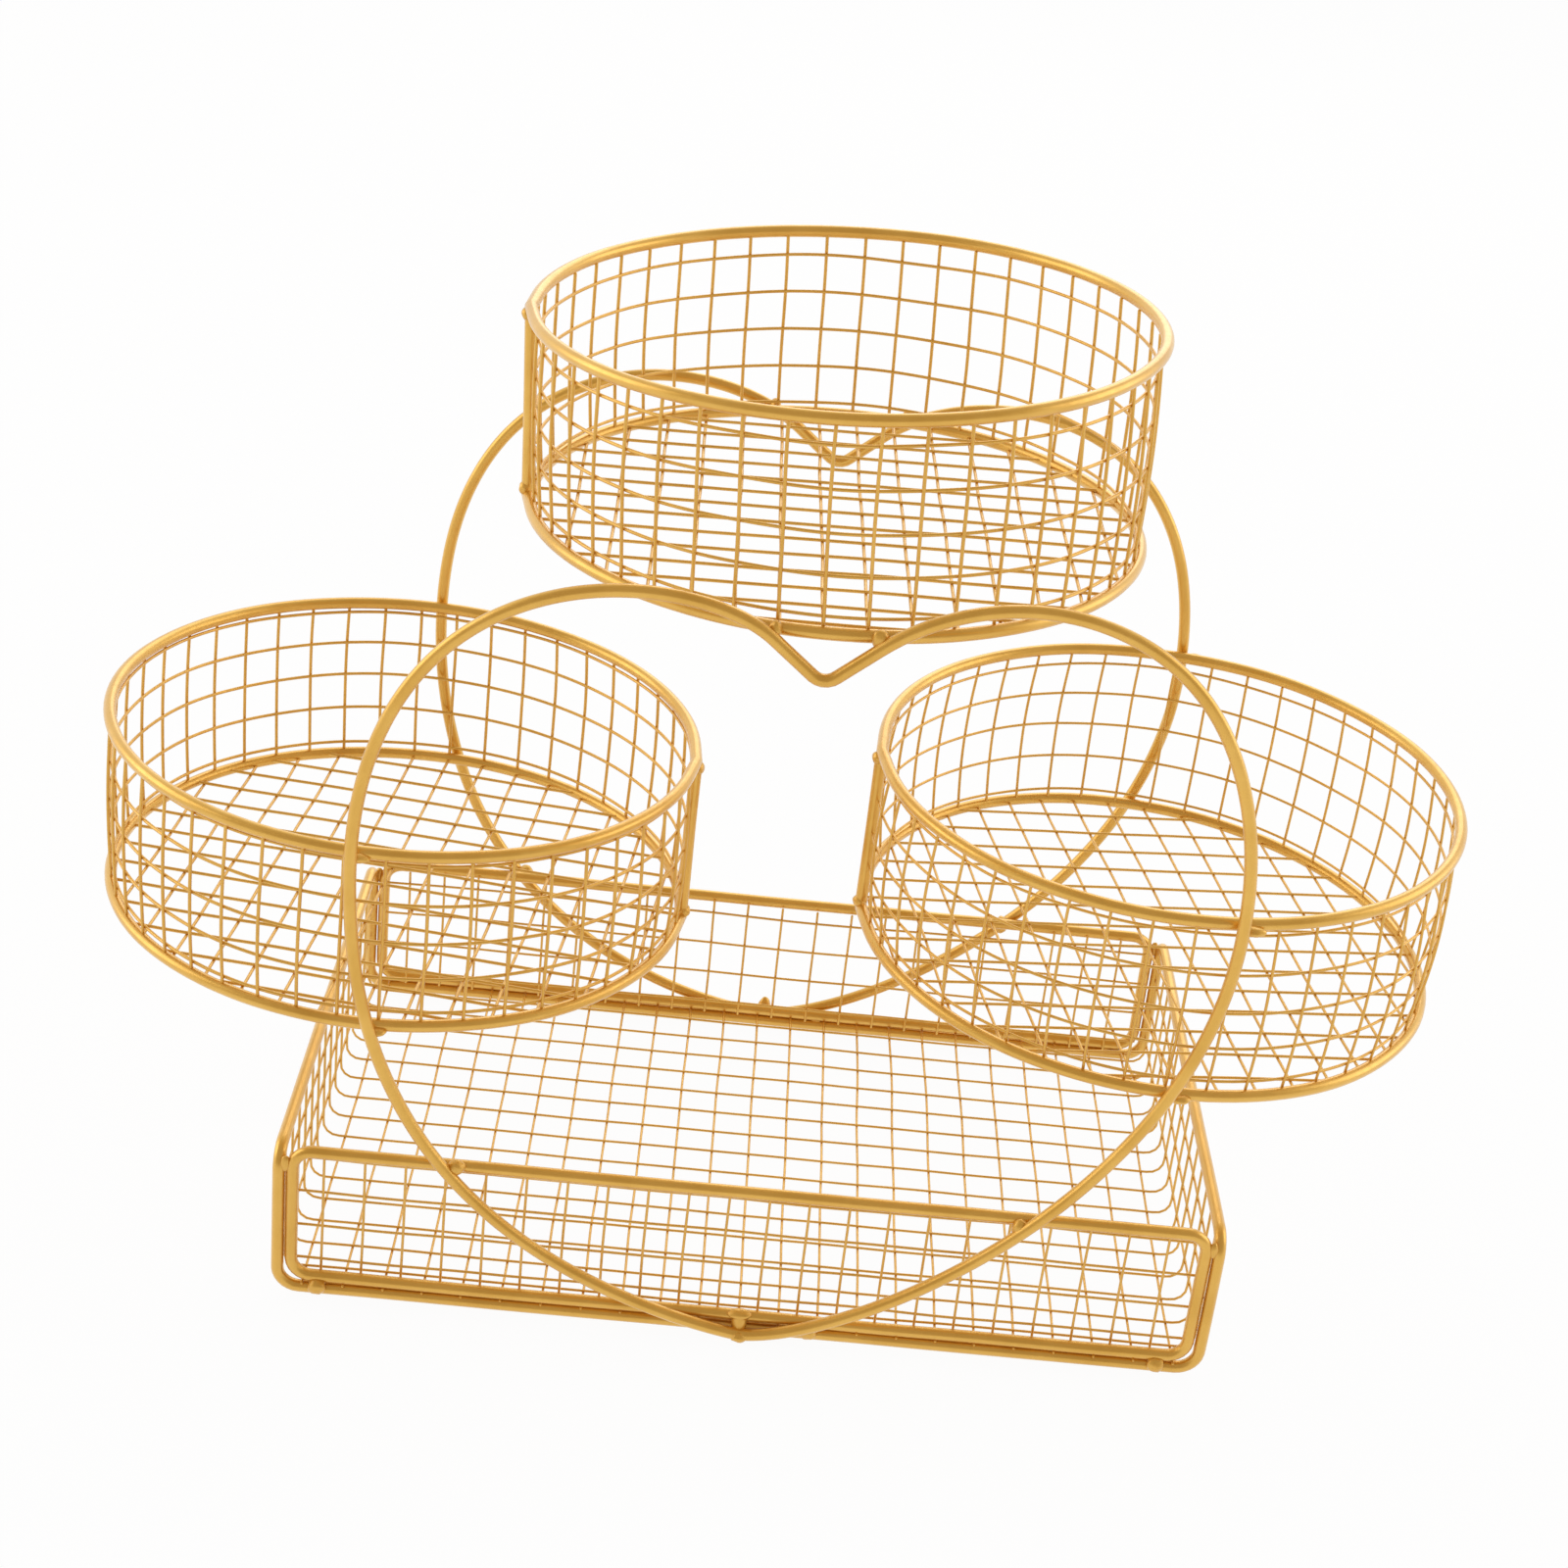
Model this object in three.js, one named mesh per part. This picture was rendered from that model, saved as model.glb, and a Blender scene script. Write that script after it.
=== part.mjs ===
// Heart-frame wire stand: two heart-shaped frames hold three round mesh baskets over a mesh tray.
// Millimetres. +Z is up, +X runs to the right of the front view, the stand rests on Z = 0.

import * as THREE from 'three';
import { mergeVertices } from 'three/addons/utils/BufferGeometryUtils.js';

// Wire
const FRAME_WIRE = 4; // thickness of hearts, rings, posts and tray frame
const MESH_WIRE = 1.1; // thickness of the welded mesh
const WELD_GAP = 0.3; // clearance between neighbouring pieces where a weld joins them

// Mesh sheet: the solids carry one wire in two of the real sheet
const MESH_PITCH = 12.7;
const MESH_SKIP = 2;

// Baskets
const BASKET_RADIUS = 94; // centreline of the rings of the two side baskets
const BASKET_RIM_SHIFT = -1.3; // top rings sideways from above the bottom rings
const LOWEST_HOOP = 4.5; // height of the lowest hoop above the bottom ring
const HIGHEST_HOOP_DROP = 6; // depth of the highest hoop below the top ring
const WALL_BULGE = 2; // swell of the wall mesh halfway between the rings
const WALL_SEAM_ROOM = 1; // room between the seam post and both ends of the wall mesh, together
const WALL_END_INSET = 0.5; // upright mesh wires short of the rings' centres

const TOP_BASKET_EXTRA = 1; // radius of its rings over that of the side baskets
const TOP_BASKET_SHIFT = 1.5; // sideways from the notch of the front heart
const TOP_BASKET_FOOT_HEIGHT = 14.8; // bottom ring above the notch of the front heart
const TOP_BASKET_HEIGHT = 63.3; // between the centrelines of its rings
const TOP_BASKET_LEAN_ANGLE = -0.9; // degrees sideways, to the right where positive
const TOP_BASKET_RIM_ANGLE = -2.2; // degrees that the top ring leans more than the bottom ring
const TOP_BASKET_PITCH_ANGLE = 0; // degrees, forward where positive
const TOP_BASKET_SEAM_ANGLE = 184; // degrees round from +X
const TOP_FLOOR_ANGLE = 1; // degrees of its floor mesh from +X

const LEFT_BASKET_INSET = 1.5; // centre inside the widest point of the back heart
const LEFT_BASKET_FOOT_HEIGHT = 101.6; // bottom ring above the surface
const LEFT_BASKET_HEIGHT = 58.6;
const LEFT_BASKET_LEAN_ANGLE = 1.7; // degrees
const LEFT_BASKET_RIM_ANGLE = 0.5; // degrees
const LEFT_BASKET_PITCH_ANGLE = -0.6; // degrees
const LEFT_BASKET_SEAM_ANGLE = 358; // degrees
const LEFT_FLOOR_ANGLE = -5; // degrees

const RIGHT_BASKET_INSET = 15.2;
const RIGHT_BASKET_FOOT_HEIGHT = 107.1;
const RIGHT_BASKET_HEIGHT = 60.2;
const RIGHT_BASKET_LEAN_ANGLE = 1.8; // degrees
const RIGHT_BASKET_RIM_ANGLE = -1.6; // degrees
const RIGHT_BASKET_PITCH_ANGLE = 1.2; // degrees
const RIGHT_BASKET_SEAM_ANGLE = 183; // degrees
const RIGHT_FLOOR_ANGLE = 10; // degrees

// Hearts, bent by hand: each side has a straight run out of the notch, a lobe and a flank down to the tip
const HEART_NOTCH_REACH = 15; // sideways length of the straight run out of the notch
const HEART_NOTCH_ANGLE = 40; // degrees of that run above the horizontal
const HEART_NOTCH_BEND = 5; // centreline radius
const HEART_TIP_PULL = 39; // curve handle at the tip
const HEART_TIP_BEND = 6; // centreline radius
const HEART_TIP_LIFT = 0.2; // underside of the tip above the surface
const HEART_RIGHT_FLANK_PULL = 92; // curve handle below the widest point
const HEART_LEFT_FLANK_PULL = 119;

const FRONT_NOTCH_SHIFT = 5; // notch from the origin, to the right
const FRONT_NOTCH_HEIGHT = 231; // above the surface
const FRONT_TIP_SHIFT = -3.4; // tip from the notch, to the left where negative
const FRONT_RIGHT_HALF_WIDTH = 131; // widest point from the notch
const FRONT_RIGHT_WIDEST_HEIGHT = 163.3; // above the surface
const FRONT_RIGHT_LOBE_PULL = 52.8; // curve handle at the end of the straight run
const FRONT_RIGHT_SHOULDER_PULL = 98.5; // curve handle above the widest point
const FRONT_RIGHT_TIP_ANGLE = 1; // degrees of the wire above the horizontal at the tip
const FRONT_LEFT_HALF_WIDTH = 131.6;
const FRONT_LEFT_WIDEST_HEIGHT = 155.9;
const FRONT_LEFT_LOBE_PULL = 32.1;
const FRONT_LEFT_SHOULDER_PULL = 108.1;
const FRONT_LEFT_TIP_ANGLE = 9; // degrees

const BACK_NOTCH_SHIFT = 9;
const BACK_NOTCH_DROP = 5.2; // below the notch of the front heart
const BACK_TIP_SHIFT = -5;
const BACK_RIGHT_HALF_WIDTH = 130;
const BACK_RIGHT_WIDEST_HEIGHT = 160;
const BACK_RIGHT_LOBE_PULL = 38.2;
const BACK_RIGHT_SHOULDER_PULL = 102.3;
const BACK_RIGHT_TIP_ANGLE = 5; // degrees
const BACK_LEFT_HALF_WIDTH = 135;
const BACK_LEFT_WIDEST_HEIGHT = 156.6;
const BACK_LEFT_LOBE_PULL = 41.7;
const BACK_LEFT_SHOULDER_PULL = 104.5;
const BACK_LEFT_TIP_ANGLE = 5; // degrees

// Tray
const TRAY_SHIFT = 1.5; // middle of the tray from the origin
const TRAY_HALF_WIDTH = 148; // centreline of the side rails
const TRAY_RAIL_HEIGHT = 52.7; // centreline of the side rails
const TRAY_LOOP_RISE = 1; // top bar of the end loops above the side rails
const TRAY_FRAME_BEND = 7; // centreline radius of the frame's corners
const TRAY_LOOP_BEND = 6.5;
const TRAY_SHEET_BEND = 9; // radius where the sheet turns up into the sides
const TRAY_SHEET_GROOVE = 0.3; // reach of its floor wires into the groove between the bottom rails
const PANEL_LOWEST_WIRE = 5.5; // lowest level wire above the loop's bottom bar

// Finish
const SATIN_GOLD = 0xc8973a;
const SATIN_ROUGHNESS = 0.38;
const SATIN_METALNESS = 0.9;

// Faceting
const FRAME_SIDES = 8;
const RING_STEPS = 40;
const BEND_STEPS = 4;
const SHEET_BEND_STEPS = 3;
const LOBE_STEPS = 14;
const FLANK_STEPS = 11;

// Sizes that follow from the ones above
const WIRE_STEP = FRAME_WIRE + WELD_GAP;
const MESH_STEP = MESH_PITCH * MESH_SKIP;
const HEART_Y = BASKET_RADIUS + WIRE_STEP;
const TRAY_Y = BASKET_RADIUS;
const PANEL_Y = TRAY_Y - FRAME_WIRE / 2 - WELD_GAP - MESH_WIRE;
const LOOP_HALF_WIDTH = TRAY_HALF_WIDTH - WIRE_STEP;
const LOOP_BOTTOM = FRAME_WIRE / 2 + WIRE_STEP;
const LOOP_TOP = TRAY_RAIL_HEIGHT + TRAY_LOOP_RISE;

const UP = new THREE.Vector3(0, 0, 1);
const BACK = new THREE.Vector3(0, 1, 0);

const BASKETS = [
  {
    name: 'top_basket',
    radius: BASKET_RADIUS + TOP_BASKET_EXTRA,
    x: FRONT_NOTCH_SHIFT + TOP_BASKET_SHIFT,
    rise: FRONT_NOTCH_HEIGHT + TOP_BASKET_FOOT_HEIGHT,
    height: TOP_BASKET_HEIGHT,
    lean: TOP_BASKET_LEAN_ANGLE,
    rimLean: TOP_BASKET_RIM_ANGLE,
    pitch: TOP_BASKET_PITCH_ANGLE,
    seam: TOP_BASKET_SEAM_ANGLE,
    floorTurn: TOP_FLOOR_ANGLE,
  },
  {
    name: 'left_basket',
    radius: BASKET_RADIUS,
    x: BACK_NOTCH_SHIFT - BACK_LEFT_HALF_WIDTH + LEFT_BASKET_INSET,
    rise: LEFT_BASKET_FOOT_HEIGHT,
    height: LEFT_BASKET_HEIGHT,
    lean: LEFT_BASKET_LEAN_ANGLE,
    rimLean: LEFT_BASKET_RIM_ANGLE,
    pitch: LEFT_BASKET_PITCH_ANGLE,
    seam: LEFT_BASKET_SEAM_ANGLE,
    floorTurn: LEFT_FLOOR_ANGLE,
  },
  {
    name: 'right_basket',
    radius: BASKET_RADIUS,
    x: BACK_NOTCH_SHIFT + BACK_RIGHT_HALF_WIDTH - RIGHT_BASKET_INSET,
    rise: RIGHT_BASKET_FOOT_HEIGHT,
    height: RIGHT_BASKET_HEIGHT,
    lean: RIGHT_BASKET_LEAN_ANGLE,
    rimLean: RIGHT_BASKET_RIM_ANGLE,
    pitch: RIGHT_BASKET_PITCH_ANGLE,
    seam: RIGHT_BASKET_SEAM_ANGLE,
    floorTurn: RIGHT_FLOOR_ANGLE,
  },
];

const stand = new THREE.Group();

function addPiece(parent, name, geometry) {
  const material = new THREE.MeshStandardMaterial({
    color: SATIN_GOLD,
    roughness: SATIN_ROUGHNESS,
    metalness: SATIN_METALNESS,
  });
  const mesh = new THREE.Mesh(geometry, material);
  mesh.name = name;
  parent.add(mesh);
  return mesh;
}

const point = (x, y, z) => new THREE.Vector3(x, y, z);

// Points of a closed path whose corners are rounded: each corner has its place and its bend radius.
function roundedPath(corners) {
  const points = [];
  const count = corners.length;
  corners.forEach(({ at, bend }, i) => {
    if (!bend) {
      points.push(at.clone());
      return;
    }
    const towardsLast = corners[(i + count - 1) % count].at.clone().sub(at).normalize();
    const towardsNext = corners[(i + 1) % count].at.clone().sub(at).normalize();
    const halfInside = towardsLast.angleTo(towardsNext) / 2;
    const centreAway = bend / Math.sin(halfInside);
    const middle = towardsLast.clone().add(towardsNext).normalize();
    const along = towardsNext.clone().addScaledVector(middle, -towardsNext.dot(middle)).normalize();
    const centre = at.clone().addScaledVector(middle, centreAway);
    const sweep = Math.PI / 2 - halfInside;
    for (let step = 0; step <= BEND_STEPS; step += 1) {
      const turn = sweep * ((2 * step) / BEND_STEPS - 1);
      const inward = centre.clone().addScaledVector(middle, -bend * Math.cos(turn));
      points.push(inward.addScaledVector(along, bend * Math.sin(turn)));
    }
  });
  return points;
}

// A frame wire along a list of points, mitred at each point, with one flat of its section facing `facing`.
function frameWire(points, facing, closed = true) {
  const count = points.length;
  const runs = points.map((from, i) => points[(i + 1) % count].clone().sub(from).normalize());
  const first = closed ? runs[count - 1] : runs[0];
  const flat = facing.clone().addScaledVector(runs[0], -facing.dot(runs[0])).normalize();
  const side = runs[0].clone().cross(flat);
  const reach = FRAME_WIRE / 2 / Math.cos(Math.PI / FRAME_SIDES);
  const positions = [];

  let section = Array.from({ length: FRAME_SIDES }, (_, k) => {
    const turn = ((k + 0.5) / FRAME_SIDES) * 2 * Math.PI;
    const corner = points[0].clone().addScaledVector(flat, reach * Math.cos(turn));
    return corner.addScaledVector(side, reach * Math.sin(turn));
  });
  points.forEach((at, i) => {
    const isLast = i === count - 1;
    const before = i === 0 ? first : runs[i - 1];
    const after = isLast && !closed ? before : runs[i];
    const mitre = before.clone().add(after);
    const run = i === 0 ? runs[0] : before;
    section = section.map((corner) => {
      const move = at.clone().sub(corner).dot(mitre) / run.dot(mitre);
      return corner.clone().addScaledVector(run, move);
    });
    section.forEach((corner) => positions.push(corner.x, corner.y, corner.z));
  });

  const faces = [];
  const lengths = closed ? count : count - 1;
  for (let i = 0; i < lengths; i += 1) {
    const here = i * FRAME_SIDES;
    const there = ((i + 1) % count) * FRAME_SIDES;
    for (let k = 0; k < FRAME_SIDES; k += 1) {
      const next = (k + 1) % FRAME_SIDES;
      faces.push(here + k, here + next, there + next);
      faces.push(here + k, there + next, there + k);
    }
  }
  if (!closed) {
    const end = (count - 1) * FRAME_SIDES;
    for (let k = 1; k < FRAME_SIDES - 1; k += 1) {
      faces.push(0, k + 1, k);
      faces.push(end, end + k, end + k + 1);
    }
  }
  const geometry = new THREE.BufferGeometry();
  geometry.setAttribute('position', new THREE.Float32BufferAttribute(positions, 3));
  geometry.setIndex(faces);
  return geometry;
}

// Triangles between two lines of points that run side by side.
function strip(near, far) {
  const triangles = [];
  let i = 0;
  let j = 0;
  while (i < near.length - 1 || j < far.length - 1) {
    const nearNext = near[i + 1];
    const farNext = far[j + 1];
    const nearIsFirst = !farNext || (nearNext && nearNext.along <= farNext.along);
    triangles.push(near[i].at, nearIsFirst ? nearNext.at : farNext.at, far[j].at);
    if (nearIsFirst) {
      i += 1;
    } else {
      j += 1;
    }
  }
  return triangles;
}

// Faces of one square mesh wire. It is welded to its crossings on its contact side, which is left open there.
// `place` puts a point of the wire in space from its length along, its distance across and its depth.
function meshWireFaces({ from, to, crossings, turns, place }) {
  const half = MESH_WIRE / 2;
  const isCrossed = (along) => crossings.some((crossing) => Math.abs(along - crossing) <= half);
  const crossingEdges = crossings.flatMap((crossing) => [crossing - half, crossing + half]);
  const outerStops = [from, ...turns, to];
  const contactStops = [from, ...crossingEdges, ...turns.filter((along) => !isCrossed(along)), to];
  contactStops.sort((a, b) => a - b);

  const line = (stops, across, depth) => stops.map((along) => ({ along, at: place(along, across, depth) }));
  const outerLeft = line(outerStops, half, MESH_WIRE);
  const outerRight = line(outerStops, -half, MESH_WIRE);
  const contactLeft = line(contactStops, half, 0);
  const contactRight = line(contactStops, -half, 0);
  const triangles = [
    ...strip(outerRight, outerLeft),
    ...strip(outerLeft, contactLeft),
    ...strip(contactRight, outerRight),
  ];
  contactStops.slice(1).forEach((stop, i) => {
    if (!isCrossed((contactStops[i] + stop) / 2)) {
      triangles.push(...strip(contactLeft.slice(i, i + 2), contactRight.slice(i, i + 2)));
    }
  });
  const startCap = [outerLeft[0], contactLeft[0], contactRight[0], outerRight[0]];
  const endCap = [outerRight, contactRight, contactLeft, outerLeft].map((edge) => edge[edge.length - 1]);
  [startCap, endCap].forEach(([a, b, c, d]) => triangles.push(a.at, b.at, c.at, a.at, c.at, d.at));
  return triangles;
}

// One welded sheet of crossing wires. Laid flat, its `rows` run along U on the +W side of the sheet and its
// `columns` along V on the -W side. `shape` bends the flat sheet: its rows turn at the lengths in `turns` and
// its columns at those in `columnTurns`.
function weldedSheet({ rows, columns, turns, columnTurns = [], shape }) {
  const reaches = (wire, place) => place > wire.from + MESH_WIRE && place < wire.to - MESH_WIRE;
  const meet = (row, column) => reaches(row, column.at) && reaches(column, row.at);
  const triangles = [];
  rows.forEach((row) => {
    triangles.push(
      ...meshWireFaces({
        from: row.from,
        to: row.to,
        crossings: columns.filter((column) => meet(row, column)).map(({ at }) => at),
        turns,
        place: (along, across, depth) => shape(along, row.at + across, depth),
      }),
    );
  });
  columns.forEach((column) => {
    triangles.push(
      ...meshWireFaces({
        from: column.from,
        to: column.to,
        crossings: rows.filter((row) => meet(row, column)).map(({ at }) => at),
        turns: columnTurns,
        place: (along, across, depth) => shape(column.at + across, along, -depth),
      }),
    );
  });
  return mergeVertices(new THREE.BufferGeometry().setFromPoints(triangles));
}

// Places of evenly pitched wires on both sides of a middle one, out to a limit.
function evenPlaces(pitch, limit) {
  const perSide = Math.floor(limit / pitch);
  return Array.from({ length: 2 * perSide + 1 }, (_, i) => (i - perSide) * pitch);
}

// Basket pieces, with the middle of the bottom ring at the origin of the basket's group

function ringWire(radius) {
  const points = Array.from({ length: RING_STEPS }, (_, i) => {
    const turn = (i / RING_STEPS) * 2 * Math.PI;
    return point(radius * Math.cos(turn), radius * Math.sin(turn), 0);
  });
  return frameWire(points, UP);
}

function topRing({ radius, height, rimLean }) {
  const ring = ringWire(radius).rotateY(THREE.MathUtils.degToRad(rimLean));
  return ring.translate(BASKET_RIM_SHIFT, 0, height);
}

// Place on the top ring's centreline, at a turn round from +X.
function rimPoint({ radius, height, rimLean }, turn) {
  const lean = THREE.MathUtils.degToRad(rimLean);
  const across = radius * Math.cos(turn);
  const x = BASKET_RIM_SHIFT + across * Math.cos(lean);
  return point(x, radius * Math.sin(turn), height - across * Math.sin(lean));
}

function seamPost(basket) {
  const turn = THREE.MathUtils.degToRad(basket.seam);
  const outward = point(Math.cos(turn), Math.sin(turn), 0);
  const foot = outward.clone().multiplyScalar(basket.radius);
  const rim = rimPoint(basket, turn);
  const clear = rim.clone().sub(foot).setLength(FRAME_WIRE / 2 + WELD_GAP);
  return frameWire([foot.add(clear), rim.sub(clear)], outward, false);
}

// Radius of the wall mesh between its uprights and its hoops, clear of the flats of the rings.
function wallRadius(radius) {
  const ringFlat = radius * Math.cos(Math.PI / RING_STEPS) - FRAME_WIRE / 2;
  return ringFlat - WELD_GAP - MESH_WIRE;
}

// The wall is a straight sheet bent round, with its uprights on the outer side and its hoops on the inner. It
// follows the top ring and swells between the rings, and its two ends stand beside the seam post.
function wallMesh(basket) {
  const { height } = basket;
  const bend = wallRadius(basket.radius);
  const halfLength = Math.PI * bend - (FRAME_WIRE + WALL_SEAM_ROOM) / 2;
  const count = Math.round((2 * halfLength) / MESH_STEP);
  const uprights = Array.from({ length: count }, (_, i) => halfLength * ((2 * i + 1) / count - 1));
  const hoopSpan = height - HIGHEST_HOOP_DROP - LOWEST_HOOP;
  const hoopSteps = Math.round(hoopSpan / MESH_STEP);
  const hoops = Array.from({ length: hoopSteps + 1 }, (_, i) => LOWEST_HOOP + (hoopSpan * i) / hoopSteps);
  const facingSeam = THREE.MathUtils.degToRad(basket.seam) + Math.PI;
  return weldedSheet({
    rows: hoops.map((at) => ({ at, from: -halfLength, to: halfLength })),
    columns: uprights.map((at) => ({ at, from: WALL_END_INSET, to: height - WALL_END_INSET })),
    turns: uprights,
    columnTurns: hoops,
    shape: (u, v, w) => {
      const turn = facingSeam - u / bend;
      const share = v / height;
      const out = bend + WALL_BULGE * Math.sin(Math.PI * share) - w;
      const x = out * Math.cos(turn) + BASKET_RIM_SHIFT * share;
      return point(x, out * Math.sin(turn), rimPoint(basket, turn).z * share);
    },
  });
}

// Wires run out to the wall, or stop short of a wire that they would only half cross there.
function floorMesh({ radius, floorTurn }) {
  const edge = wallRadius(radius) - WELD_GAP;
  const places = evenPlaces(MESH_STEP, edge - MESH_WIRE);
  const wires = places.map((at) => {
    const toWall = Math.sqrt(edge ** 2 - (Math.abs(at) + MESH_WIRE / 2) ** 2);
    const halfCrossed = places.find((place) => Math.abs(toWall - place) <= MESH_WIRE);
    const reach = halfCrossed === undefined ? toWall : halfCrossed - MESH_WIRE;
    return { at, from: -reach, to: reach };
  });
  const sheet = weldedSheet({ rows: wires, columns: wires, turns: [], shape: point });
  return sheet.rotateZ(THREE.MathUtils.degToRad(floorTurn));
}

BASKETS.forEach((basket) => {
  const group = new THREE.Group();
  group.position.set(basket.x, 0, basket.rise);
  group.rotation.y = THREE.MathUtils.degToRad(basket.lean);
  const pieces = {
    top_ring: topRing(basket),
    bottom_ring: ringWire(basket.radius),
    seam_post: seamPost(basket),
    wall_mesh: wallMesh(basket),
    floor_mesh: floorMesh(basket),
  };
  const risePerDepth = Math.tan(THREE.MathUtils.degToRad(basket.pitch));
  const pitched = new THREE.Matrix4().makeShear(0, 0, 0, risePerDepth, 0, 0);
  Object.entries(pieces).forEach(([piece, geometry]) => {
    addPiece(group, `${basket.name}_${piece}`, geometry.applyMatrix4(pitched));
  });
  stand.add(group);
});

// Heart frames

const HEARTS = [
  {
    name: 'heart_frame_front',
    y: -HEART_Y,
    shift: FRONT_NOTCH_SHIFT,
    notchHeight: FRONT_NOTCH_HEIGHT,
    tipShift: FRONT_TIP_SHIFT,
    right: {
      side: 1,
      halfWidth: FRONT_RIGHT_HALF_WIDTH,
      widestHeight: FRONT_RIGHT_WIDEST_HEIGHT,
      lobePull: FRONT_RIGHT_LOBE_PULL,
      shoulderPull: FRONT_RIGHT_SHOULDER_PULL,
      tipAngle: FRONT_RIGHT_TIP_ANGLE,
      flankPull: HEART_RIGHT_FLANK_PULL,
    },
    left: {
      side: -1,
      halfWidth: FRONT_LEFT_HALF_WIDTH,
      widestHeight: FRONT_LEFT_WIDEST_HEIGHT,
      lobePull: FRONT_LEFT_LOBE_PULL,
      shoulderPull: FRONT_LEFT_SHOULDER_PULL,
      tipAngle: FRONT_LEFT_TIP_ANGLE,
      flankPull: HEART_LEFT_FLANK_PULL,
    },
  },
  {
    name: 'heart_frame_back',
    y: HEART_Y,
    shift: BACK_NOTCH_SHIFT,
    notchHeight: FRONT_NOTCH_HEIGHT - BACK_NOTCH_DROP,
    tipShift: BACK_TIP_SHIFT,
    right: {
      side: 1,
      halfWidth: BACK_RIGHT_HALF_WIDTH,
      widestHeight: BACK_RIGHT_WIDEST_HEIGHT,
      lobePull: BACK_RIGHT_LOBE_PULL,
      shoulderPull: BACK_RIGHT_SHOULDER_PULL,
      tipAngle: BACK_RIGHT_TIP_ANGLE,
      flankPull: HEART_RIGHT_FLANK_PULL,
    },
    left: {
      side: -1,
      halfWidth: BACK_LEFT_HALF_WIDTH,
      widestHeight: BACK_LEFT_WIDEST_HEIGHT,
      lobePull: BACK_LEFT_LOBE_PULL,
      shoulderPull: BACK_LEFT_SHOULDER_PULL,
      tipAngle: BACK_LEFT_TIP_ANGLE,
      flankPull: HEART_LEFT_FLANK_PULL,
    },
  },
];

// Points of one side, from the end of its straight run to just before the tip.
function heartSide(form, notch, tip) {
  const rising = (slope) => {
    const angle = THREE.MathUtils.degToRad(slope);
    return point(form.side * Math.cos(angle), 0, Math.sin(angle));
  };
  const notchRun = rising(HEART_NOTCH_ANGLE);
  const runEnd = notch.clone().addScaledVector(notchRun, HEART_NOTCH_REACH / Math.abs(notchRun.x));
  const widest = point(form.side * form.halfWidth, 0, form.widestHeight);
  const lobe = new THREE.CubicBezierCurve3(
    runEnd,
    runEnd.clone().addScaledVector(notchRun, form.lobePull),
    widest.clone().addScaledVector(UP, form.shoulderPull),
    widest,
  );
  const flank = new THREE.CubicBezierCurve3(
    widest,
    widest.clone().addScaledVector(UP, -form.flankPull),
    tip.clone().addScaledVector(rising(form.tipAngle), HEART_TIP_PULL),
    tip,
  );
  return [...lobe.getPoints(LOBE_STEPS), ...flank.getPoints(FLANK_STEPS).slice(1, -1)];
}

function heartOutline({ notchHeight, tipShift, right, left }) {
  const notch = point(0, 0, notchHeight);
  const tip = point(tipShift, 0, FRAME_WIRE / 2 + HEART_TIP_LIFT);
  const plain = (at) => ({ at, bend: 0 });
  const corners = [
    { at: notch, bend: HEART_NOTCH_BEND },
    ...heartSide(right, notch, tip).map(plain),
    { at: tip, bend: HEART_TIP_BEND },
    ...heartSide(left, notch, tip).reverse().map(plain),
  ];
  return roundedPath(corners);
}

HEARTS.forEach((heart) => {
  addPiece(stand, heart.name, frameWire(heartOutline(heart), BACK)).position.set(heart.shift, heart.y, 0);
});

// Tray, with the middle of its footprint at the origin of the tray's group

function trayOuterFrame() {
  const bottom = FRAME_WIRE / 2;
  const top = TRAY_RAIL_HEIGHT;
  const ends = [
    { y: -TRAY_Y, from: -TRAY_HALF_WIDTH },
    { y: TRAY_Y, from: TRAY_HALF_WIDTH },
  ];
  const corners = ends.flatMap(({ y, from }) => [
    point(from, y, top),
    point(from, y, bottom),
    point(-from, y, bottom),
    point(-from, y, top),
  ]);
  return frameWire(roundedPath(corners.map((at) => ({ at, bend: TRAY_FRAME_BEND }))), BACK);
}

function trayLoop() {
  const corners = [
    point(-LOOP_HALF_WIDTH, 0, LOOP_TOP),
    point(-LOOP_HALF_WIDTH, 0, LOOP_BOTTOM),
    point(LOOP_HALF_WIDTH, 0, LOOP_BOTTOM),
    point(LOOP_HALF_WIDTH, 0, LOOP_TOP),
  ];
  return frameWire(roundedPath(corners.map((at) => ({ at, bend: TRAY_LOOP_BEND }))), BACK);
}

// Upright wires lie on the outer side of the panel, level wires on the inner side.
function panelMesh() {
  const uprights = evenPlaces(MESH_STEP, LOOP_HALF_WIDTH - FRAME_WIRE);
  const levels = [];
  for (let z = LOOP_BOTTOM + PANEL_LOWEST_WIRE; z < LOOP_TOP - FRAME_WIRE; z += MESH_STEP) {
    levels.push(z);
  }
  return weldedSheet({
    rows: levels.map((at) => ({ at, from: -LOOP_HALF_WIDTH, to: LOOP_HALF_WIDTH })),
    columns: uprights.map((at) => ({ at, from: LOOP_BOTTOM, to: LOOP_TOP })),
    turns: [],
    shape: (u, v, w) => point(-u, w, v),
  });
}

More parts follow.
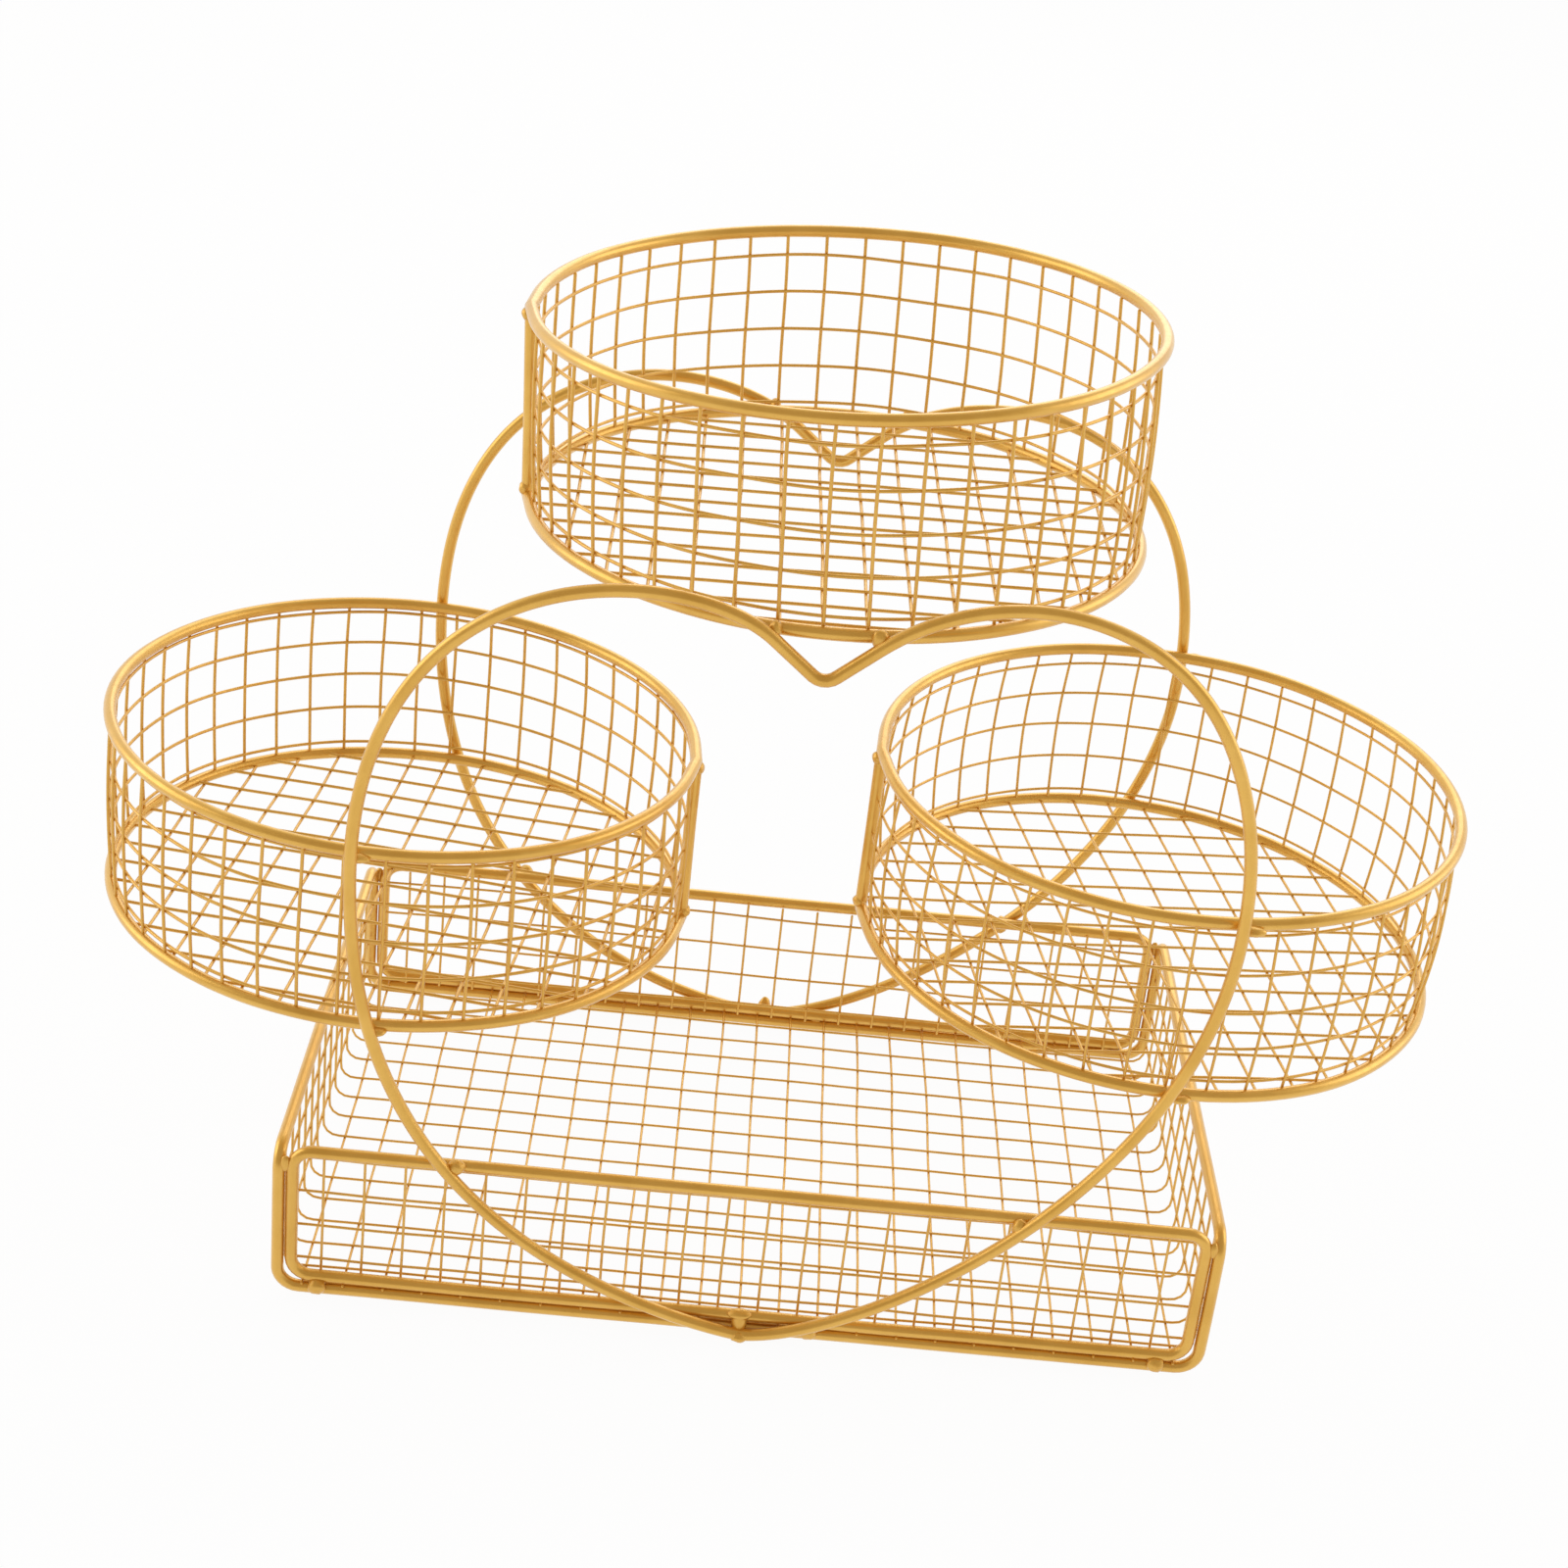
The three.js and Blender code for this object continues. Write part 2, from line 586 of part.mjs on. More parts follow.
// A straight sheet turned up at both ends: its wires across the tray lie inside, those along it outside.
function trayFloorMesh() {
  const floorLevel = FRAME_WIRE + (WELD_GAP + MESH_WIRE) / 2;
  const sideLevel = TRAY_HALF_WIDTH - FRAME_WIRE / 2 - WELD_GAP - MESH_WIRE;
  const railFlat = TRAY_Y - FRAME_WIRE / 2;
  const flatHalf = sideLevel - TRAY_SHEET_BEND;
  const bendLength = (TRAY_SHEET_BEND * Math.PI) / 2;
  const bendTop = floorLevel + TRAY_SHEET_BEND;
  const halfLength = flatHalf + bendLength + TRAY_RAIL_HEIGHT - bendTop;
  const bendStep = bendLength / SHEET_BEND_STEPS;
  const bend = Array.from({ length: SHEET_BEND_STEPS + 1 }, (_, i) => flatHalf + bendStep * i);
  return weldedSheet({
    rows: evenPlaces(MESH_STEP, PANEL_Y - FRAME_WIRE).map((at) => {
      return { at, from: -halfLength, to: halfLength };
    }),
    columns: evenPlaces(MESH_STEP, halfLength - MESH_WIRE).map((at) => {
      const reach = Math.abs(at) < flatHalf ? railFlat + TRAY_SHEET_GROOVE : railFlat - WELD_GAP;
      return { at, from: -reach, to: reach };
    }),
    turns: [...bend.map((along) => -along).reverse(), ...bend],
    shape: (u, v, w) => {
      const pastFlat = Math.max(Math.abs(u) - flatHalf, 0);
      const turn = Math.min(pastFlat / TRAY_SHEET_BEND, Math.PI / 2);
      const radius = TRAY_SHEET_BEND - w;
      const x = Math.min(Math.abs(u), flatHalf) + radius * Math.sin(turn);
      const upright = Math.max(pastFlat - bendLength, 0);
      return point(Math.sign(u) * x, v, bendTop - radius * Math.cos(turn) + upright);
    },
  });
}

const tray = new THREE.Group();
tray.position.x = TRAY_SHIFT;
addPiece(tray, 'tray_outer_frame', trayOuterFrame());
addPiece(tray, 'tray_front_loop', trayLoop()).position.y = -TRAY_Y;
addPiece(tray, 'tray_back_loop', trayLoop()).position.y = TRAY_Y;
addPiece(tray, 'tray_front_mesh', panelMesh()).position.y = -PANEL_Y;
const backPanel = addPiece(tray, 'tray_back_mesh', panelMesh());
backPanel.position.y = PANEL_Y;
backPanel.rotation.z = Math.PI;
addPiece(tray, 'tray_floor_mesh', trayFloorMesh());
stand.add(tray);

export default stand;
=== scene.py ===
"""Heart-frame fruit basket stand in satin gold wire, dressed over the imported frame."""

import math

import bmesh
import bpy
from mathutils import Matrix, Vector, noise
from mathutils.geometry import interpolate_bezier


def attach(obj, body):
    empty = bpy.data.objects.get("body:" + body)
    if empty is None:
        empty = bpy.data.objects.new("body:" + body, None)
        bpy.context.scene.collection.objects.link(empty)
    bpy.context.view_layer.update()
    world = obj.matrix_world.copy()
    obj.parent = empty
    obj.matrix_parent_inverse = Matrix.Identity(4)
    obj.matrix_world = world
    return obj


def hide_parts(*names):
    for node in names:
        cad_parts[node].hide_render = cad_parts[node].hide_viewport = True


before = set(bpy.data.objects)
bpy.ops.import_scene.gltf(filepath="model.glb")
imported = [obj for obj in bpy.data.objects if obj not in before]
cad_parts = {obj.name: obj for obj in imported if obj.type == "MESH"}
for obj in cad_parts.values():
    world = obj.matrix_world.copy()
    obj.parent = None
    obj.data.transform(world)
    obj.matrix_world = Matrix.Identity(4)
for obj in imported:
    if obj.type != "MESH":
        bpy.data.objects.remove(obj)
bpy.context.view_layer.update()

bl_info = {
    "name": "Heart-frame basket stand",
    "version": (1, 0, 0),
    "blender": (4, 5, 0),
    "location": "3D View > Sidebar > Basket stand",
    "description": "Builds a satin gold wire stand with three round baskets and a tray",
    "category": "Object",
}

BODY = "root"

MM = 0.001
UP = Vector((0, 0, 1))
RIGHT = Vector((1, 0, 0))
BACK = Vector((0, 1, 0))

FRAME_SIDES = 18
MESH_SIDES = 8
FRAME_STEP = 1.5 * MM  # spacing of the sections along a frame wire
MESH_STEP = 2.5 * MM  # spacing of the sections along a mesh wire
BEND_STEPS = 12
CURVE_STEPS = 80
RING_STEPS = 144
MESH_SUNK = 0.8  # share of its thickness that a mesh wire keeps above the wire it is welded to
BUTT_SUNK = 0.5 * MM  # how far the end of a mesh wire is sunk into the frame wire it butts against
WAVER_SEED = 3  # keeps the wires' wavers the same in every run
# Own seeds, so that like wires and beads don't stray alike
SEEDS = {
    "hearts": 3.1,
    "rings": 7.3,
    "posts": 11.7,
    "walls": 1.7,
    "floors": 5.2,
    "tray_frame": 17.9,
    "tray_loops": 21.3,
    "panels": 9.4,
    "tray_sheet": 13.6,
    "seam_beads": 31.7,
    "tray_beads": 51.3,
}
FRAME_WAVE = 45 * MM  # about the length of one waver along a frame wire
MESH_WAVE = 38 * MM  # about the length of one waver along a mesh wire
MESH_DEPTH_SHARE = 0.35  # a mesh wire's waver across its sheet, as a share of the one within it
DOMED_END = ((0.4, 0.86), (0.7, 0.5))  # sections of a domed end: how far out and how thick, in radii
BEAD_LUMP = 0.15  # how lumpy a weld bead is, as a share of its size
POST_STEP = 3 * MM  # spacing of the sections along a seam post
PANEL_FOOT = 1.2 * MM  # how far the uprights of an end panel pass below the middle of the bottom bar
PANEL_HEAD = 0.8 * MM  # how far they stay below the middle of the top bar

BASKETS = ("top_basket", "left_basket", "right_basket")
ENDS = {"front": -1, "back": 1}
SIDES = {"right": 1, "left": -1}


# Settings that a user would change


def length(name, description, millimetres):
    """A size in the scene's unit, written here in millimetres."""
    return bpy.props.FloatProperty(
        name=name, description=description, default=millimetres * MM, unit="LENGTH", precision=5
    )


def angle(name, description, degrees):
    """An angle, written here in degrees."""
    return bpy.props.FloatProperty(
        name=name, description=description, default=math.radians(degrees), subtype="ANGLE"
    )


def colour(name, description, red, green, blue):
    """A colour in linear light."""
    return bpy.props.FloatVectorProperty(
        name=name, description=description, default=(red, green, blue), subtype="COLOR", min=0, max=1
    )


def sub_group(kind, name, description):
    """A group of settings within another one."""
    return bpy.props.PointerProperty(type=kind, name=name, description=description)


class WireSizes(bpy.types.PropertyGroup):
    """Thickness of the wires and the grid of the mesh"""

    frame_wire: length("Frame wire", "Thickness of hearts, rings, posts and tray frame", 4.0)
    mesh_wire: length("Mesh wire", "Thickness of the baskets' welded mesh", 1.1)
    tray_mesh_wire: length("Tray mesh wire", "Thickness of the tray's welded mesh", 0.88)
    mesh_pitch: length("Mesh pitch", "Distance from wire to wire in the mesh", 12.7)
    weld_gap: length("Weld gap", "Room between two pieces that a weld bead fills", 0.3)
    frame_waver: length("Frame waver", "How far a hand-bent frame wire strays from its line", 0.25)
    mesh_waver: length("Mesh waver", "How far a mesh wire strays from its line", 0.65)


class HeartSizes(bpy.types.PropertyGroup):
    """What both heart frames share"""

    distance: length("Distance", "Each heart from the middle of the stand", 98.3)
    notch_reach: length("Notch reach", "Sideways length of the straight run out of the notch", 15)
    notch_angle: angle("Notch angle", "Rise of the straight run out of the notch", 40)
    notch_bend: length("Notch bend", "Radius of the wire at the notch", 5)
    tip_height: length("Tip height", "Tip above the surface", 2.2)
    tip_bend: length("Tip bend", "Radius of the wire at the tip", 6)
    tip_pull: length("Tip pull", "Curve handle at the tip", 39)


class HeartSideSizes(bpy.types.PropertyGroup):
    """One side of a heart, from the notch over the lobe to the tip"""

    half_width: length("Half width", "Widest point from the notch", 132)
    widest_height: length("Widest height", "Widest point above the surface", 159)
    lobe_pull: length("Lobe pull", "Curve handle at the end of the straight run", 41)
    shoulder_pull: length("Shoulder pull", "Curve handle above the widest point", 103)
    flank_pull: length("Flank pull", "Curve handle below the widest point", 105)
    tip_angle: angle("Tip angle", "Rise of the wire out of the tip", 5)


class HeartForm(bpy.types.PropertyGroup):
    """One heart"""

    shift: length("Shift", "Notch to the right of the middle of the stand", 7)
    notch_height: length("Notch height", "Notch above the surface", 228)
    tip_shift: length("Tip shift", "Tip to the right of the notch", -4)
    right: sub_group(HeartSideSizes, "Right", "Right side of the heart")
    left: sub_group(HeartSideSizes, "Left", "Left side of the heart")


class BasketSizes(bpy.types.PropertyGroup):
    """One round basket"""

    middle: length("Middle", "Middle of the bottom ring, to the right of the stand's middle", 0)
    foot_height: length("Foot height", "Bottom ring above the surface", 100)
    radius: length("Radius", "Centreline of the rings", 94)
    height: length("Height", "Between the centrelines of the rings", 61)
    lean: angle("Lean", "Sideways lean, to the right where positive", 0)
    pitch: angle("Pitch", "Forward lean", 0)
    rim_lean: angle("Rim lean", "How much more the top ring leans sideways than the bottom ring", 0)
    rim_shift: length("Rim shift", "Top ring to the right of the bottom ring", -1.3)
    wall_inset: length("Wall inset", "Wall inside the centreline of the rings", 1.6)
    bulge: length("Bulge", "Swell of the wall halfway between the rings", 1)
    strip_tilt: length("Strip tilt", "How much higher the hoops run at the back, and lower at the front", 0)
    thinner: length("Thinner mesh", "How much thinner its mesh wire is than the other baskets'", 0)
    seam: angle("Seam", "Place of the seam post, round from the right", 180)
    seam_room: length("Seam room", "Room between the seam post and both ends of the wall, together", 1)
    upright_shift: length("Upright shift", "First upright past the place opposite the seam", 0)
    floor_turn: angle("Floor turn", "Turn of the floor mesh", 0)
    floor_column: length("Floor column", "First column of the floor mesh past its middle", 0)
    floor_row: length("Floor row", "First row of the floor mesh past its middle", 0)
    straight_end: angle("Straight ends", "How far each ring end runs straight into its joint", 7)
    lowest_hoop: length("Lowest hoop", "Lowest hoop of the wall above the bottom ring", 4.5)


class TraySizes(bpy.types.PropertyGroup):
    """The tray under the baskets"""

    shift: length("Shift", "Middle of the tray to the right of the stand's middle", 1.5)
    half_width: length("Half width", "Side rails from the middle of the tray", 148)
    half_depth: length("Half depth", "Front and back rails from the middle of the tray", 94)
    rail_height: length("Rail height", "Side rails above the surface", 52.7)
    loop_rise: length("Loop rise", "Top bar of the end loops above the side rails", 1)
    frame_bend: length("Frame bend", "Radius at the corners of the frame", 7)
    loop_bend: length("Loop bend", "Radius at the corners of the end loops", 6.5)
    side_inset: length("Side inset", "Sides of the sheet inside the centreline of the rails", 0.4)
    sheet_bend: length("Sheet bend", "Radius where the floor sheet turns up into the sides", 5.5)
    lowest_wire: length("Lowest wire", "Lowest level wire of the end panels above their bottom bar", 4.2)
    first_upright: length("First upright", "First upright of the end panels past the middle", 5.5)
    ends_out: length("Ends out", "Ends of the floor sheet's wires past the middle of the bottom rails", 1.9)
    row_pitch: length("Row pitch", "Distance of the floor sheet's rows from front to back", 12.27)
    first_row: length("First row", "First row of the floor sheet past the middle", -1.4)


class Finish(bpy.types.PropertyGroup):
    """Satin gold plating, and the stage"""

    gold_light: colour("Light gold", "Paler tone of the plating", 0.85, 0.503, 0.088)
    gold_deep: colour("Deep gold", "Deeper tone of the plating", 0.75, 0.415, 0.051)
    floor_white: colour("Floor", "Floor and backdrop", 0.95, 0.95, 0.95)


class StandSettings(bpy.types.PropertyGroup):
    """All settings of the stand"""

    wire: sub_group(WireSizes, "Wire", "Wire sizes")
    heart: sub_group(HeartSizes, "Hearts", "Both hearts")
    front_heart: sub_group(HeartForm, "Front heart", "Front heart")
    back_heart: sub_group(HeartForm, "Back heart", "Back heart")
    top_basket: sub_group(BasketSizes, "Top basket", "Top basket")
    left_basket: sub_group(BasketSizes, "Left basket", "Left basket")
    right_basket: sub_group(BasketSizes, "Right basket", "Right basket")
    tray: sub_group(TraySizes, "Tray", "Tray")
    finish: sub_group(Finish, "Finish", "Plating and stage")


# The stand is bent by hand, so its hearts and its baskets differ: millimetres and degrees
OWN_LENGTHS = {
    "front_heart": {"shift": 5, "notch_height": 231, "tip_shift": -3.4},
    "front_heart.right": {
        "half_width": 131,
        "widest_height": 163.3,
        "lobe_pull": 52.8,
        "shoulder_pull": 98.5,
        "flank_pull": 92,
    },
    "front_heart.left": {
        "half_width": 131.6,
        "widest_height": 155.9,
        "lobe_pull": 32.1,
        "shoulder_pull": 108.1,
        "flank_pull": 119,
    },
    "back_heart": {"shift": 9, "notch_height": 225.8, "tip_shift": -5},
    "back_heart.right": {
        "half_width": 130,
        "widest_height": 160,
        "lobe_pull": 38.2,
        "shoulder_pull": 102.3,
        "flank_pull": 92,
    },
    "back_heart.left": {
        "half_width": 135,
        "widest_height": 156.6,
        "lobe_pull": 41.7,
        "shoulder_pull": 104.5,
        "flank_pull": 119,
    },
    "top_basket": {
        "middle": 6.5,
        "foot_height": 245.8,
        "radius": 95,
        "height": 63.3,
        "upright_shift": 4.4,
        "floor_column": -4.5,
        "floor_row": -0.4,
    },
    "left_basket": {
        "middle": -124.5,
        "foot_height": 101.6,
        "height": 58.6,
        "wall_inset": 0.7,
        "bulge": 1.1,
        "strip_tilt": 1.3,
        "upright_shift": -4.9,
        "floor_column": -3.7,
        "floor_row": 4.6,
    },
    "right_basket": {
        "middle": 123.8,
        "foot_height": 107.1,
        "height": 60.2,
        "bulge": 2.2,
        "strip_tilt": 0.6,
        "thinner": 0.13,
        "upright_shift": -1.4,
        "floor_column": 0.4,
        "floor_row": 4.1,
    },
}
OWN_ANGLES = {
    "front_heart.right": {"tip_angle": 1},
    "front_heart.left": {"tip_angle": 9},
    "top_basket": {"lean": -0.9, "rim_lean": -2.2, "seam": 184, "floor_turn": 1},
    "left_basket": {"lean": 1.7, "rim_lean": 0.5, "pitch": -0.6, "seam": 358, "floor_turn": -5},
    "right_basket": {"lean": 1.8, "rim_lean": -1.6, "pitch": 1.2, "seam": 183, "floor_turn": 10},
}


def set_own_sizes(settings):
    """Give each heart and each basket its own sizes."""
    for group, sizes in OWN_LENGTHS.items():
        for name, millimetres in sizes.items():
            setattr(settings.path_resolve(group), name, millimetres * MM)
    for group, sizes in OWN_ANGLES.items():
        for name, degrees in sizes.items():
            setattr(settings.path_resolve(group), name, math.radians(degrees))


# Lines


def spaced(start, end, step):
    """Evenly spaced places from start to end, about a step apart."""
    count = max(1, round(abs(end - start) / step))
    return [start + (end - start) * i / count for i in range(count + 1)]


def pitched(first, pitch, limit):
    """Places a pitch apart, from the first one out to the limit on both sides of zero."""
    lowest = math.ceil((-limit - first) / pitch)
    highest = math.floor((limit - first) / pitch)
    return [first + pitch * i for i in range(lowest, highest + 1)]


def rounded_line(corners):
    """Points of a closed line from corners, each with its place and its bend radius."""
    line = []
    count = len(corners)
    for i, (place, bend) in enumerate(corners):
        if not bend:
            line.append(place.copy())
            continue
        to_last = (corners[i - 1][0] - place).normalized()
        to_next = (corners[(i + 1) % count][0] - place).normalized()
        half_inside = to_last.angle(to_next) / 2
        middle = (to_last + to_next).normalized()
        along = (to_next - middle * to_next.dot(middle)).normalized()
        centre = place + middle * bend / math.sin(half_inside)
        sweep = math.pi / 2 - half_inside
        for turn in spaced(-sweep, sweep, 2 * sweep / BEND_STEPS):
            line.append(centre - middle * bend * math.cos(turn) + along * bend * math.sin(turn))
    return line


def even_line(line, step):
    """The same closed line with points evenly spaced along it."""
    closed = line + [line[0]]
    reached = [0.0]
    for here, there in zip(closed, closed[1:]):
        reached.append(reached[-1] + (there - here).length)
    even = []
    piece = 0
    for place in spaced(0, reached[-1], step)[:-1]:
        while reached[piece + 1] < place:
            piece += 1
        share = (place - reached[piece]) / (reached[piece + 1] - reached[piece])
        even.append(closed[piece].lerp(closed[piece + 1], share))
    return even


def strayed(line, waver, seed):
    """The line with each point moved a little, as a hand-bent wire is."""
    shift = Vector((seed, 2 * seed, 3 * seed))
    return [place + noise.noise_vector(place / FRAME_WAVE + shift) * waver for place in line]


def basket_matrix(basket):
    """Where a basket stands: the middle of its bottom ring, its lean and its pitch."""
    place = Matrix.Translation((basket.middle, 0, basket.foot_height))
    pitch = Matrix.Identity(4)
    pitch[2][1] = math.tan(basket.pitch)
    return place @ Matrix.Rotation(basket.lean, 4, "Y") @ pitch


def basket_point(basket, turn, out, share):
    """A place in the basket's own frame, a share of the way from its bottom ring to its top ring."""
    rim_height = basket.height - basket.radius * math.cos(turn) * math.sin(basket.rim_lean)
    x = out * math.cos(turn) + basket.rim_shift * share
    return Vector((x, out * math.sin(turn), rim_height * share))


def ring_radius(basket, turn):
    """Radius of a ring, whose two ends run straight into their butt joint at the seam."""
    off_seam = abs(math.remainder(turn - basket.seam, math.tau))
    return basket.radius / math.cos(max(basket.straight_end - off_seam, 0))


def ring_line(basket, share):
    """Points of the bottom ring, share 0, or the top ring, share 1, from the joint round to the joint."""
    stand = basket_matrix(basket)
    line = []
    for i in range(RING_STEPS):
        turn = basket.seam + math.tau * i / RING_STEPS
        line.append(stand @ basket_point(basket, turn, ring_radius(basket, turn), share))
    return line


def heart_form(settings, end):
    """Settings of the front or the back heart."""
    return getattr(settings, f"{end}_heart")


def heart_side_line(settings, end, side):
    """One side of a heart in its own plane, from the end of its straight run to the tip."""
    heart = settings.heart
    form = heart_form(settings, end)
    bends = getattr(form, side)
    sign = SIDES[side]

    def rising(slope):
        return Vector((sign * math.cos(slope), 0, math.sin(slope)))

    notch = Vector((0, 0, form.notch_height))
    tip = Vector((form.tip_shift, 0, heart.tip_height))
    widest = Vector((sign * bends.half_width, 0, bends.widest_height))
    run = rising(heart.notch_angle)
    run_end = notch + run * (heart.notch_reach / abs(run.x))
    lobe = interpolate_bezier(
        run_end, run_end + run * bends.lobe_pull, widest + UP * bends.shoulder_pull, widest, CURVE_STEPS
    )
    at_tip = tip + rising(bends.tip_angle) * heart.tip_pull
    flank = interpolate_bezier(widest, widest - UP * bends.flank_pull, at_tip, tip, CURVE_STEPS)
    return lobe + flank[1:]


def heart_line(settings, end):
    """Closed line of the front or the back heart."""
    heart = settings.heart
    form = heart_form(settings, end)
    notch = Vector((0, 0, form.notch_height))
    tip = Vector((form.tip_shift, 0, heart.tip_height))
    right = heart_side_line(settings, end, "right")[:-1]
    left = heart_side_line(settings, end, "left")[-2::-1]
    corners = [(notch, heart.notch_bend)]
    corners += [(place, 0) for place in right]
    corners += [(tip, heart.tip_bend)]
    corners += [(place, 0) for place in left]
    place = Vector((form.shift, ENDS[end] * heart.distance, 0))
    return [place + point for point in rounded_line(corners)]


def loop_sizes(settings):
    """Half width, bottom and top of the end loops that stand inside the tray's frame."""
    step = settings.wire.frame_wire + settings.wire.weld_gap
    tray = settings.tray
    bottom = settings.wire.frame_wire / 2 + step
    return tray.half_width - step, bottom, tray.rail_height + tray.loop_rise


def tray_frame_line(settings):
    """Closed line of the tray's outer frame: a U at each end and the two side rails."""
    tray = settings.tray
    bottom = settings.wire.frame_wire / 2
    corners = []
    for sign in ENDS.values():
        y = sign * tray.half_depth
        start = sign * tray.half_width
        corners.append(Vector((start, y, tray.rail_height)))
        corners.append(Vector((start, y, bottom)))
        corners.append(Vector((-start, y, bottom)))
        corners.append(Vector((-start, y, tray.rail_height)))
    shift = RIGHT * tray.shift
    return rounded_line([(shift + corner, tray.frame_bend) for corner in corners])


def tray_loop_line(settings, end):
    """Closed line of the front or the back loop of the tray."""
    tray = settings.tray
    half_width, bottom, top = loop_sizes(settings)
    middle = Vector((tray.shift, ENDS[end] * tray.half_depth, 0))
    corners = [(-half_width, top), (-half_width, bottom), (half_width, bottom), (half_width, top)]
    return rounded_line([(middle + Vector((x, 0, z)), tray.loop_bend) for x, z in corners])


# Wire, mesh and weld beads


def section_frames(line, closed):
    """Two directions across the line at each point, carried along it without twist."""
    count = len(line)
    runs = []
    for i in range(count):
        before = line[i - 1] if closed or i > 0 else line[i]
        after = line[(i + 1) % count] if closed or i < count - 1 else line[i]
        runs.append((after - before).normalized())
    across = runs[0].orthogonal().normalized()
    frames = []
    for run in runs:
        across = (across - run * across.dot(run)).normalized()
        frames.append((run, across))
    return frames


def add_loop(shell, place, frame_here, radius, sides, turn=0.0):
    """One round section of a wire."""
    run, across = frame_here
    other = run.cross(across)
    loop = []
    for k in range(sides):
        at = math.tau * k / sides + turn
        loop.append(shell.verts.new(place + (across * math.cos(at) + other * math.sin(at)) * radius))
    return loop


def join_loops(shell, near, far):
    """Faces between two sections."""
    count = len(near)
    for k in range(count):
        after = (k + 1) % count
        shell.faces.new((near[k], near[after], far[after], far[k]))


def add_wire(shell, line, radius, sides, closed=False):
    """Add a round wire along a line of points to a shell, with domed ends where the line is open."""
    frames = section_frames(line, closed)
    twist = 0.0
    if closed:
        run, across = frames[0]
        carried = (frames[-1][1] - run * frames[-1][1].dot(run)).normalized()
        twist = math.atan2(carried.cross(across).dot(run), carried.dot(across)) / len(line)
    loops = [
        add_loop(shell, place, frame_here, radius, sides, twist * i)
        for i, (place, frame_here) in enumerate(zip(line, frames))
    ]
    if closed:
        loops.append(loops[0])
    else:
        for at, outward in ((0, -1), (-1, 1)):
            for beyond, share in DOMED_END:
                place = line[at] + frames[at][0] * outward * beyond * radius
                loop = add_loop(shell, place, frames[at], share * radius, sides)
                loops.insert(0 if at == 0 else len(loops), loop)
        shell.faces.new(loops[0][::-1])
        shell.faces.new(loops[-1])
    for near, far in zip(loops, loops[1:]):
        join_loops(shell, near, far)


def add_sheet(shell, rows, columns, shape, thickness, waver, seed):
    """Add one sheet of welded mesh to a shell.

    A row is its place across the flat sheet and its two ends along it, and a column the same the
    other way. `shape` bends the flat sheet. Rows and columns share one waver, so that they stay
    together where they cross.
    """
    lift = thickness * MESH_SUNK / 2

    def bent(u, v, depth):
        stray = noise.noise_vector(Vector((u / MESH_WAVE, v / MESH_WAVE, seed))) * waver
        return shape(u + stray.x, v + stray.y, depth + stray.z * MESH_DEPTH_SHARE)

    for place, start, end in rows:
        line = [bent(u, place, lift) for u in spaced(start, end, MESH_STEP)]
        add_wire(shell, line, thickness / 2, MESH_SIDES)
    for place, start, end in columns:
        line = [bent(place, v, -lift) for v in spaced(start, end, MESH_STEP)]
        add_wire(shell, line, thickness / 2, MESH_SIDES)


def add_bead(shell, place, first, second, sizes, seed):
    """Add a lumpy weld bead: its half sizes along the first and second directions and across both."""
    across = first.cross(second).normalized()
    axes = (first.normalized(), across.cross(first).normalized(), across)
    drop = bmesh.ops.create_icosphere(shell, subdivisions=3, radius=1.0)
    for vert in drop["verts"]:
        unit = vert.co.copy()
        lump = 1 + BEAD_LUMP * noise.noise(unit * 1.6 + Vector((seed, 0, 0)))
        offset = Vector((0, 0, 0))
        for axis, size, share in zip(axes, sizes, unit):
            offset += axis * size * share
        vert.co = place + offset * lump


# Finish


def add_node(tree, kind, **values):
    """A new node with the values of its inputs."""
    node = tree.nodes.new(kind)
    for name, value in values.items():
        node.inputs[name.replace("_", " ")].default_value = value
    return node


def satin_gold(name, light, deep, roughness, grain_depth):
    """Satin gold plating: two tones in soft patches, faint grain, and roughness that follows the grain."""
    existing = bpy.data.materials.get(name)
    if existing:
        return existing
    material = bpy.data.materials.new(name)
    material.use_nodes = True
    tree = material.node_tree
    shader = tree.nodes["Principled BSDF"]
    shader.inputs["Metallic"].default_value = 0.7
    shader.inputs["Coat Weight"].default_value = 0.7
    shader.inputs["Coat Roughness"].default_value = 0.24

    coordinates = tree.nodes.new("ShaderNodeTexCoord")
    patches = add_node(tree, "ShaderNodeTexNoise", Scale=55.0, Detail=3.0, Roughness=0.5)
    grain = add_node(tree, "ShaderNodeTexNoise", Scale=420.0, Detail=2.0, Roughness=0.5)
    tones = tree.nodes.new("ShaderNodeValToRGB")
    tones.color_ramp.elements[0].position = 0.3
    tones.color_ramp.elements[0].color = (*deep, 1)
    tones.color_ramp.elements[1].position = 0.7
    tones.color_ramp.elements[1].color = (*light, 1)
    polish = add_node(tree, "ShaderNodeMapRange", From_Min=0.3, From_Max=0.7)
    polish.inputs["To Min"].default_value = roughness - 0.05
    polish.inputs["To Max"].default_value = roughness + 0.05
    relief = add_node(tree, "ShaderNodeBump", Strength=0.2, Distance=grain_depth)

    links = tree.links
    links.new(coordinates.outputs["Object"], patches.inputs["Vector"])
    links.new(coordinates.outputs["Object"], grain.inputs["Vector"])
    links.new(patches.outputs["Fac"], tones.inputs["Fac"])
    links.new(tones.outputs["Color"], shader.inputs["Base Color"])
    links.new(grain.outputs["Fac"], polish.inputs["Value"])
    links.new(polish.outputs["Result"], shader.inputs["Roughness"])
    links.new(grain.outputs["Fac"], relief.inputs["Height"])
    links.new(relief.outputs["Normal"], shader.inputs["Normal"])
    return material


